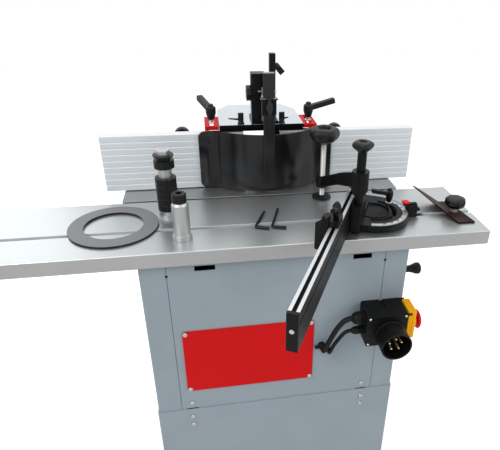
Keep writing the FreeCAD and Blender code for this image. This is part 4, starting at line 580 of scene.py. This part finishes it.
knob_black = coat("knob_black", (0.005, 0.005, 0.0055), 0.36, scale=1400, depth=0.03, sheen=0.26)
chrome = coat("chrome", (0.75, 0.75, 0.76), 0.12, metallic=1, spread=0.04, depth=0.01)
wing_x, wing_y = 45, 26.5
for name, side, reach in (("wing_screw_left", -1, 31), ("wing_screw_right", 1, 19)):
    x = wing_x * side
    hub = turned([(7.5, 991), (7.5, 993), (5.5, 995), (5, 999)], (x, wing_y, 0))
    blade = block((x - 6, wing_y - 2.8, 996), (x + 6, wing_y + 2.8, 1015))
    wing = rod((x + 4 * side, wing_y, 1001), (x + (reach - 4) * side, wing_y, 1003), 2.4, 1.3)
    stand_for(moulded([hub, blade, wing], 0.5, 4), name, knob_black, "clamp_knobs")
lock_x, lock_z = 173.5, 961
for name, side in (("lock_knob_left", -1), ("lock_knob_right", 1)):
    x = lock_x * side
    knob = turned([(15, 0), (17, 1.5), (17.5, 3), (17.5, 15), (16, 17.5), (12, 18)],
                  (x, 64, lock_z), FRONT, 48)
    stand_for(moulded([knob], 0.7, 3), name, knob_black, "clamp_knobs")
    stud = rod((x, 28, lock_z), (x, 47, lock_z), 3, 3)
    broken(stud, 0.0003)
    stand_for(stud, name + "_stud", chrome, "clamp_knobs")
side_x, side_y, side_z = -31.5, 33, 1056
rib_count, rib_circle = 8, 14
lumps = [turned([(13, 0), (15, 1.5), (15, 8.5), (13, 10)], (side_x, side_y, side_z), RIGHT, 48)]
for i in range(rib_count):
    turn = 2 * math.pi * i / rib_count
    place = (side_x, side_y + rib_circle * math.cos(turn), side_z + rib_circle * math.sin(turn))
    lumps.append(turned([(2.6, 0), (2.6, 10)], place, RIGHT, 16))
stand_for(moulded(lumps, 0.5, 4), "side_knob", knob_black, "clamp_knobs")
rod_y, rod_z = 70.75, 1104
lumps = [turned([(7.5, 0), (7.5, 6)], (36.5, rod_y, rod_z), RIGHT), ball((40, rod_y, rod_z), 7),
         flat_bar((37, 72.5, 1107), (53, 72.5, 1089), 9, 13)]
stand_for(moulded(lumps, 0.5, 2), "rod_knob", knob_black, "clamp_knobs")


# Clamp levers of the fences: die-cast black levers, each a barrel hub with a button on top and an arm
# that rises from it, on a bright stud through the housing's ear.
def lever_lumps(x, y, z, r, h, arm, turn):
    # A hub of radius r and height h, with its steps as shares of both, and the arm that rises from it
    steps = ((0.64, 0), (0.8, 0.18), (1, 0.42), (1, 0.74), (0.88, 0.82), (0.56, 0.84), (0.54, 0.96),
             (0.4, 1))
    hub = turned([(r * wide, z + h * high) for wide, high in steps], (x, y, 0))
    rise = 14 / 62
    way = Vector((math.cos(math.radians(turn)), math.sin(math.radians(turn)), rise))
    start = Vector((x, y, z + h * 0.6))
    return [hub, flat_bar(start, start + way * arm, r * 0.95, r * 0.85, 1.25)]


ear_x, ear_y = 108.25, 46.5
for node, x, turn in (("fence_lever_left", -ear_x, 112), ("fence_lever_right", ear_x, 8)):
    lever = moulded(lever_lumps(x, ear_y, 997, 11, 34, 62, turn))
    stand_for(lever, node + "_handle", knob_black, node)
    stud = turned([(6.5, 989.2), (6.5, 991.2), (4, 991.4), (4, 999)], (x, ear_y, 0))
    broken(stud, 0.0003)
    stand_for(stud, node + "_stud", chrome, node)
    nut = turned([(6.5, 975), (6.5, 981)], (x, ear_y, 0), sides=6)
    broken(nut, 0.0004)
    stand_for(nut, node + "_nut", chrome, node)

# Cutter guard: black-painted steel post, rod and arm on the lid, a bright strap round the arm, and the
# bent hood that hangs on its upright in front of the fences. The tops of the rod and the upright are
# painted a lighter grey steel: a painted highlight.
bracket = eased("guard_bracket", 0.0006, black_paint, least=0.006)
strap_steel = brushed("strap_steel", (0.7, 0.71, 0.72), 0.24, (1, 0.05, 1))
painted(bracket, strap_steel, lambda c, n: c.y < 20.4 and c.z < 1090)
top_painted_highlight = coat("top_painted_highlight", (0.3, 0.3, 0.3), 0.35, metallic=0.6)
# The rod's top face is painted a lighter grey steel: painted highlight
painted(bracket, top_painted_highlight, lambda c, n: c.z > 1131.8)
web = block((0.4, 36, 1066.5), (9.5, 45.4, 1098.5))
broken(web, 0.0006)
added(web, "post_web", black_paint, "root")
arm = eased("guard_arm", 0.0006, black_paint, least=0.006)
painted(arm, strap_steel, lambda c, n: c.z > 1060.5 and n.z > 0.6 and c.y < -20)
wing_grey = coat("wing_grey", (0.03, 0.032, 0.035), 0.4)
painted(arm, wing_grey, lambda c, n: c.y < -47.2)
hood_paint = coat("hood_paint", (0.005, 0.005, 0.006), 0.24, depth=0.01, sheen=0.5)
hood = eased("guard_hood", 0.0006, hood_paint, least=0.006)
# The upright's top face is painted a lighter grey steel: painted highlight
painted(hood, top_painted_highlight, lambda c, n: c.z > 1111.3)

# Mitre gauge: black die-cast base that runs in the table's slot, and on it the protractor with a dished
# face, a raised rim and a groove for its locking stud. A red plastic pointer reads the angle.
gauge_black = coat("gauge_black", (0.0035, 0.0035, 0.004), 0.4, scale=700, depth=0.06, sheen=0.17)
gauge_x = 202
gauge_axis = (gauge_x, slot_y, 0)
bar_turn = math.radians(-26.1)
across = Vector((math.cos(bar_turn), math.sin(bar_turn), 0))


def from_bar(p):
    # A place in millimetres given in the fence bar's own lengths: across, along and up from the gauge
    x, y = p.x - gauge_x, p.y - slot_y
    return (x * math.cos(bar_turn) + y * math.sin(bar_turn),
            -x * math.sin(bar_turn) + y * math.cos(bar_turn), p.z)


def to_bar(x, y, z):
    # The other way round: a place from its lengths across, along and up
    return (gauge_x + x * math.cos(bar_turn) - y * math.sin(bar_turn),
            slot_y + x * math.sin(bar_turn) + y * math.cos(bar_turn), z)


def trimmed(piece, point, normal):
    # The piece cut flat, with what lies beyond the plane taken away
    only(piece)
    bpy.ops.object.mode_set(mode="EDIT")
    bpy.ops.mesh.select_all(action="SELECT")
    bpy.ops.mesh.bisect(plane_co=at(*point), plane_no=normal.normalized(), use_fill=True,
                        clear_outer=True)
    bpy.ops.object.mode_set(mode="OBJECT")


def dished(piece):
    # A smooth bowl inside the dial and the wide groove that the locking stud runs in
    fill = turned([(35, 855), (35, 866.6)], gauge_axis, sides=96)
    trimmed(fill, to_bar(-19, 0, 860), -across)
    only(piece)
    whole = piece.modifiers.new("whole", "BOOLEAN")
    whole.object = fill
    whole.operation = "UNION"
    bpy.ops.object.modifier_apply(modifier="whole")
    bpy.data.objects.remove(fill)
    groove = turned([(49, 860.6), (49, 868)], gauge_axis, sides=96)
    cut(groove, turned([(40.5, 859), (40.5, 870)], gauge_axis, sides=96))
    trimmed(groove, to_bar(2, 0, 860), -across)
    bpy.ops.mesh.primitive_uv_sphere_add(segments=96, ring_count=32, radius=0.0325,
                                         location=at(gauge_x, slot_y, 867))
    bowl = bpy.context.object
    bowl.scale = (1, 1, 0.3)
    settled(bowl)
    trimmed(bowl, to_bar(-15, 0, 860), -across)
    for tool in (groove, bowl):
        cut(piece, tool)


eased("mitre_base", 0.0006, gauge_black, least=0.008,
      shape=lambda piece: cut(piece, turned([(12, 855), (12, 890)], gauge_axis)))
eased("protractor", 0.0006, gauge_black, least=0.012, shape=dished)
rim_across, rim_half, rim_z = -16, 1.8, 866.8
bpy.ops.mesh.primitive_torus_add(major_radius=0.0338, minor_radius=rim_half / 1000, major_segments=96,
                                 minor_segments=16, location=at(gauge_x, slot_y, rim_z))
rim = settled(bpy.context.object)
trimmed(rim, to_bar(rim_across, 0, 860), -across)
edge = rod(to_bar(rim_across, -30, rim_z), to_bar(rim_across, 30, rim_z), rim_half, rim_half)
joined([rim, edge])
smoothed(rim, 40)
added(rim, "dial_rim", black_paint, "gauge_head")
red_plastic = coat("red_plastic", (0.7, 0.012, 0.01), 0.3, sheen=0.12)
eased("angle_pointer", 0.0004, red_plastic)


# Angle scale: a bright metal ring let into the protractor's rim, with marks every degree, longer every
# five and fifteen, and plain black numbers of degrees.
def scale_marks(name, centre, inner, outer):
    # The marks run in from the outer edge, and a dark line follows both edges; lengths in millimetres
    made = bpy.data.materials.new(name)
    made.use_nodes = True
    tree = made.node_tree
    shader = tree.nodes["Principled BSDF"]
    shader.inputs["Roughness"].default_value = 0.3
    bare_metallic = 0.7

    def sums(kind, a, b):
        # A Math node on two values, each a number or another node's output
        node = tree.nodes.new("ShaderNodeMath")
        node.operation = kind
        for i, value in enumerate((a, b)):
            if isinstance(value, (int, float)):
                node.inputs[i].default_value = value
            elif value is not None:
                tree.links.new(value, node.inputs[i])
        return node.outputs[0]

    place = tree.nodes.new("ShaderNodeTexCoord")
    split = tree.nodes.new("ShaderNodeSeparateXYZ")
    tree.links.new(place.outputs["Object"], split.inputs[0])
    x = sums("SUBTRACT", split.outputs["X"], centre[0] / 1000)
    y = sums("SUBTRACT", split.outputs["Y"], centre[1] / 1000)
    r = sums("SQRT", sums("ADD", sums("MULTIPLY", x, x), sums("MULTIPLY", y, y)), None)
    turn = sums("MULTIPLY", sums("ARCTAN2", y, x), 180 / math.pi)
    marks = sums("MAXIMUM", sums("LESS_THAN", r, (inner + 0.7) / 1000),
                 sums("GREATER_THAN", r, (outer - 0.6) / 1000))
    for step, thick, length in ((1, 0.35, 2.6), (5, 0.6, 4), (15, 1.0, 5)):
        part = sums("FRACT", sums("DIVIDE", sums("ADD", turn, 360 + step / 2), step), None)
        near = sums("LESS_THAN", sums("ABSOLUTE", sums("SUBTRACT", part, 0.5), None), thick / 2 / step)
        marks = sums("MAXIMUM", marks,
                     sums("MULTIPLY", near, sums("GREATER_THAN", r, (outer - length) / 1000)))
    ink = tree.nodes.new("ShaderNodeMix")
    ink.data_type = "RGBA"
    ink.inputs[MIX_A].default_value = (0.54, 0.55, 0.56, 1)
    ink.inputs[MIX_B].default_value = (0.01, 0.01, 0.01, 1)
    tree.links.new(marks, ink.inputs["Factor"])
    tree.links.new(ink.outputs[MIX_RESULT], shader.inputs["Base Color"])
    bare = sums("SUBTRACT", bare_metallic, sums("MULTIPLY", marks, bare_metallic))
    tree.links.new(bare, shader.inputs["Metallic"])
    return made


eased("angle_scale", 0.0003, scale_marks("scale_metal", (gauge_x, slot_y), 59, 70.5))
digit_ring, digit_z = 60.2, 866.62
numbers = []
for degrees in range(-60, 61, 15):
    bpy.ops.object.text_add(location=(0, 0, 0))
    digits = bpy.context.object
    digits.data.body = str(abs(degrees))
    digits.data.size = 0.0062
    digits.data.align_x = "CENTER"
    digits.data.extrude = 0.00006
    digits.data.offset = 0.00015
    only(digits)
    bpy.ops.object.convert(target="MESH")
    digits = bpy.context.object
    turn = bar_turn + math.radians(degrees)
    digits.location = at(gauge_x + digit_ring * math.cos(turn), slot_y + digit_ring * math.sin(turn),
                         digit_z)
    digits.rotation_euler = (0, 0, turn - math.pi / 2)
    numbers.append(settled(digits))
added(joined(numbers), "scale_numbers", black_paint, "gauge_head")

# Locking lever of the mitre gauge: a small black die-cast lever that screws down on a bright steel
# collar, with its stud through the protractor's groove.
stud_x, stud_y = 241, -165.4
lever = moulded(lever_lumps(stud_x, stud_y, 875, 7.5, 30, 38, 180), 0.6)
stand_for(lever, "mitre_lever_handle", knob_black, "mitre_lever")
collar = turned([(4, 851), (4, 866.9), (6.5, 867), (6.5, 874.8), (4, 876)], (stud_x, stud_y, 0))
broken(collar, 0.0005)
stand_for(collar, "mitre_lever_collar", chrome, "mitre_lever")

# Mitre fence: a black-anodised aluminium bar whose two top lips are left bright, with black end caps, a
# button screw in the near one, and a stop that clamps on the bar and flips up on its pin.
bar = eased("mitre_fence", 0.0004, gauge_black, least=0.006)
bar_bright = brushed("bar_bright", (0.6, 0.61, 0.62), 0.4, (1, 1, 1), lines=300, metallic=0.6)
painted(bar, bar_bright, lambda c, n: n.z > 0.6 and c.z > 916 and -437 < from_bar(c)[1] < -19)
painted(bar, screw_steel, lambda c, n: from_bar(c)[1] < -440.6)
# The bar's side slot is painted a lighter blue-grey than the black bar: painted light
bar_slot_painted_light = coat("bar_slot_painted_light", (0.045, 0.055, 0.07), 0.4)


def in_bar_slot(c, n):
    # The faces of the bar's side slot, between its end caps
    wide, long, high = from_bar(c)
    return -46 < wide < -36 and 898 < high < 916 and -436 < long < -20


painted(bar, bar_slot_painted_light, in_bar_slot)
eased("stop_carrier", 0.0005, black_paint, least=0.005)
flip = eased("flip_stop", 0.0006, black_paint)
flip_corner, flip_slope = to_bar(-72.1, -200, 924), across * -12 + Vector((0, 0, 16))
trimmed(flip, flip_corner, flip_slope)

# Hold-down: a cast arm with flanges along its top and foot that slides on the black steel post, and a
# zinc-plated threaded rod with a star knob that presses its rubber pad. The post has its own knob.
post_x, post_y = 153.65, -232.2
press_x, press_y = 120, -71.5
eased("holddown_arm", 0.0008, gauge_black, least=0.006)
arm_way = Vector((press_x - post_x, press_y - post_y, 0)).normalized()
# Each flange's run: how far out from the post, and how high
low_run = ((12, 939), (74, 919), (154, 881))
high_run = ((12, 965), (74, 941), (152, 898))
flanges = []
for wide, tall, run in ((19, 4, low_run), (16, 3, high_run)):
    points = [Vector((post_x, post_y, z)) + arm_way * d for d, z in run]
    flanges += [flat_bar(a, b, wide, tall) for a, b in zip(points, points[1:])]
added(moulded(flanges, 0.8, 2), "arm_flanges", gauge_black, "clamp_arm")
pad_rubber = coat("pad_rubber", (0.008, 0.008, 0.008), 0.5)
eased("press_pad", 0.0005, pad_rubber)


def lobed(profile, place, lobes, depth):
    # A turned moulding drawn in between its lobes, most where it is widest
    piece = turned(profile, (0, 0, 0), sides=96)
    widest = max(r for r, z in profile) / 1000
    for point in piece.data.vertices:
        share = (math.hypot(point.co.x, point.co.y) / widest) ** 2
        wave = 0.5 - 0.5 * math.cos(lobes * math.atan2(point.co.y, point.co.x))
        point.co.x *= 1 - depth * share * wave
        point.co.y *= 1 - depth * share * wave
    piece.location = at(*place)
    only(piece)
    soft = piece.modifiers.new("soft", "SUBSURF")
    soft.levels = 1
    soft.render_levels = 1
    bpy.ops.object.modifier_apply(modifier="soft")
    bpy.ops.object.shade_smooth()
    return piece


knob = lobed([(9, 0), (10, 2), (14, 4), (22, 7), (29, 11.5), (33, 18), (33.4, 25), (31, 31), (26, 34.6),
              (19, 36), (14.6, 35.2), (12.8, 33), (12.2, 28), (11, 27), (0.6, 27)],
             (press_x, press_y, 972), 5, 0.12)
stand_for(knob, "press_knob", knob_black, "press_screw")
post_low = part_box("holddown_post")[0].z * 1000
post = turned([(8.5, post_low), (8.5, 926), (13, 926.5), (13, 933.5), (8.5, 934), (8.5, 1012)],
              (post_x, post_y, 0))
broken(post, 0.0004)
stand_for(post, "post_bar", gauge_black, "holddown_post")
knob = lobed([(8.6, 0), (9, 2), (11, 4.5), (16.5, 8), (20, 12), (20.8, 15), (19.6, 18.5), (16, 20.8),
              (11, 21.8), (8, 21.4), (6.6, 20), (6.2, 16), (0.6, 15.5)], (post_x, post_y, 1008), 4, 0.14)
stand_for(knob, "post_knob", knob_black, "holddown_post")
zinc = coat("zinc", (0.6, 0.6, 0.59), 0.4, metallic=0.6)
crest, root, rod_low, ridges = 5.7, 5.0, 856.3, 118
thread = turned([(crest if i % 2 else root, rod_low + i) for i in range(ridges)], (press_x, press_y, 0))
smoothed(thread, 60)
stand_for(thread, "press_rod", zinc, "press_screw")

# Edging shoe on the right of the table: a dark painted steel plate bent up into a leaning fin, held in
# the table's slot by a bolt with a bright nut and a lobed plastic knob.
shoe_x = 381
shoe_paint = coat("shoe_paint", (0.02, 0.007, 0.007), 0.36, scale=350, depth=0.15, spread=0.3, sheen=0.04)
shoe = eased("edging_shoe", 0.0004, shoe_paint, least=0.006)
# The fin, bent from the same plate, is painted a lighter red-brown than the plate: painted light
fin_painted_light = coat("fin_painted_light", (0.09, 0.04, 0.036), 0.35, sheen=0.15)
painted(shoe, fin_painted_light, lambda c, n: c.x < 352 and c.z > 856)
painted(shoe, zinc, lambda c, n: math.hypot(c.x - shoe_x, c.y - slot_y) < 9.6 and c.z > 854)
knob = lobed([(8, -4), (12, -3.4), (18, -1), (21, 4), (21.9, 9), (21.4, 14), (19.4, 17), (14, 18.7),
              (5, 19), (0.6, 19)], (shoe_x, slot_y, 866), 7, 0.07)
stand_for(knob, "shoe_knob_skin", knob_black, "shoe_knob")

# Spare tooling laid on the table: a grey table ring, two turned steel spindles with their blacked
# collars and nuts, and two hexagon keys bent from blacked steel bar.
black_steel = coat("black_steel", (0.007, 0.007, 0.008), 0.34, metallic=0.05, scale=1600, sheen=0.25)
ring_grey = coat("ring_grey", (0.2, 0.207, 0.218), 0.45, metallic=0.2, scale=1400)
ring = eased("spare_ring", 0.0004, ring_grey)
# The ring's walls take the black steel, darker than its grey top: painted shade
painted(ring, black_steel, lambda c, n: n.z < 0.5)
eased("spare_spindles", 0.0005, steel)
eased("spare_collars", 0.0004, black_steel)


def drawn(name, points, r, around, along=12):
    # A round bar of radius r in metres, with closed ends, on a smooth line by points in millimetres
    line = bpy.data.curves.new(name, "CURVE")
    line.dimensions = "3D"
    line.bevel_depth = r
    line.bevel_resolution = around
    line.resolution_u = along
    line.use_fill_caps = True
    spline = line.splines.new("NURBS")
    spline.points.add(len(points) - 1)
    for point, place in zip(spline.points, points):
        point.co = (*at(*place), 1)
    spline.order_u = 3
    spline.use_endpoint_u = True
    piece = bpy.data.objects.new(name, line)
    scene.collection.objects.link(piece)
    return piece


key_places = (("hex_key_left", -39, -197.5, -21, 68), ("hex_key_right", -7, -201.5, -16, 80))
for name, x, y, turn, long in key_places:
    way = Vector((-math.sin(math.radians(turn)), math.cos(math.radians(turn)), 0))
    leg = Vector((way.y, -way.x, 0))
    heel = Vector((x, y, 853.1))
    points = [heel + way * long, heel + way * 40, heel + way * 8, heel, heel + leg * 8, heel + leg * 28]
    key = drawn(name, points, 0.0027, 1)
    only(key)
    bpy.ops.object.convert(target="MESH")
    key = bpy.context.object
    smoothed(key, 40)
    stand_for(key, name, black_steel, "hex_keys")

# Switch box: a black moulded box screwed to the panel, with a round plug inlet, a yellow flap that
# carries the red stop mushroom over the green start button, and two cable glands. The leads' rubber
# grommets sit in the panel beside it.
switch_black = coat("switch_black", (0.004, 0.004, 0.004), 0.45, scale=1100, depth=0.06, sheen=0.18)
box_face = -312
box_corner, box_slope = (0, -262, 699.2), Vector((0, -5, 50))
eased("switch_box", 0.001, switch_black, least=0.006,
      shape=lambda piece: trimmed(piece, box_corner, box_slope))
for i, (x, z) in enumerate(((174, 689.5), (248, 690), (174, 627), (248, 627))):
    screw = turned([(2.8, 0), (2.8, 0.8), (2, 1.6), (0.8, 1.9)], (x, box_face, z), FRONT, 24)
    smoothed(screw, 50)
    added(screw, "box_screw_%d" % (i + 1), screw_steel, "root")
inlet = turned([(32.4, 0), (32.4, 3), (31.2, 4), (31.8, 40), (31.2, 42), (29, 42), (28.2, 41), (27.6, 9),
                (1, 9)], (inlet_x, box_face, inlet_z), FRONT, 64)
broken(inlet, 0.0004)
stand_for(inlet, "inlet_shroud", switch_black, "mains_inlet")
yellow_plastic = coat("yellow_plastic", (1, 0.47, 0.004), 0.4, sheen=0.12)
stop_axis = (0, -286, 660)
stem_r, stem_bore_r = 8, 8.4
flap = block((255, -309, 630), (271.5, -264, 697))
cut(flap, turned([(stem_bore_r, 250), (stem_bore_r, 280)], stop_axis, RIGHT, 64))
broken(flap, 0.0012)
stand_for(flap, "flap_cover", yellow_plastic, "switch_flap")
rib = block((265, -310.2, 636), (267, -308.5, 676))
broken(rib, 0.0005)
added(rib, "flap_rib", yellow_plastic, "flap")
boss = turned([(19, 270.5), (18.4, 272), (16.6, 276.2), (15.6, 277.4)], stop_axis, RIGHT, 64)
cut(boss, turned([(stem_bore_r, 260), (stem_bore_r, 280)], stop_axis, RIGHT, 64))
broken(boss, 0.0006)
added(boss, "flap_boss", yellow_plastic, "flap")
button = turned([(stem_r, 262), (stem_r, 281.5), (18.6, 281.6), (19.6, 283), (19.4, 285.5), (17, 287.6),
                 (11, 288.7), (1, 289)], stop_axis, RIGHT, 64)
smoothed(button, 40)
stand_for(button, "mushroom_head", red_plastic, "stop_mushroom")
eased("start_button", 0.0006, coat("green_plastic", (0.02, 0.3, 0.05), 0.3))
LEFT = (0, -90, 0)
gland_steps = ((1.08, 0), (1.08, 4), (0.92, 5), (1, 8), (0.98, 15), (0.85, 20), (0.6, 23.5), (0.45, 24))
for name, z, r in (("gland_one", 677, 13.5), ("gland_two", 646, 8.5)):
    gland = turned([(r * share, far) for share, far in gland_steps], (168, -286.5, z), LEFT, 48)
    smoothed(gland, 40)
    stand_for(gland, name, switch_black, "cable_glands")
for name, x, z, r in (("grommet_one", 89.5, 594.5, 7.5), ("grommet_two", 102, 587, 6)):
    grommet = turned([(r, 0), (r, 6), (r * 0.9, 10), (r * 0.75, 12)], (x, panel_face, z), FRONT, 32)
    broken(grommet, 0.0005)
    stand_for(grommet, name, rubber, "cable_glands")
tail = turned([(3.4, 0), (3.8, 1), (3.8, 13), (3.2, 14.5)], (89.5, -264, 591), LEFT, 24)
broken(tail, 0.0003)
stand_for(tail, "lead_tail", rubber, "cable_glands")

# Switch leads: two short round rubber leads that come out of the glands, bend down and go into their
# grommets in the front panel. Their lengths and thicknesses are in metres.
lead_one = [(144, -286.5, 677), (132, -286.5, 677), (118, -286.5, 661), (108.5, -286.5, 644),
            (101.5, -286.5, 628), (96, -286.5, 614), (91, -287, 602), (89.5, -282, 594.5),
            (89.5, -272, 594.5)]
lead_two = [(144, -286.5, 646), (133, -286.5, 646), (121, -286.5, 630), (112, -286.5, 616),
            (106.5, -286.5, 605), (103, -286.5, 596), (102, -281, 587), (102, -272, 587)]
leads = (("lead_one", lead_one, 0.011, 0.1157), ("lead_two", lead_two, 0.008, 0.0875))
for name, points, thick, length in leads:
    lead = drawn(name, points, thick / 2, 6, 8)
    lead.data.materials.append(rubber)
    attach(lead, body_of["switch_leads"])
    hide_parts("switch_leads")
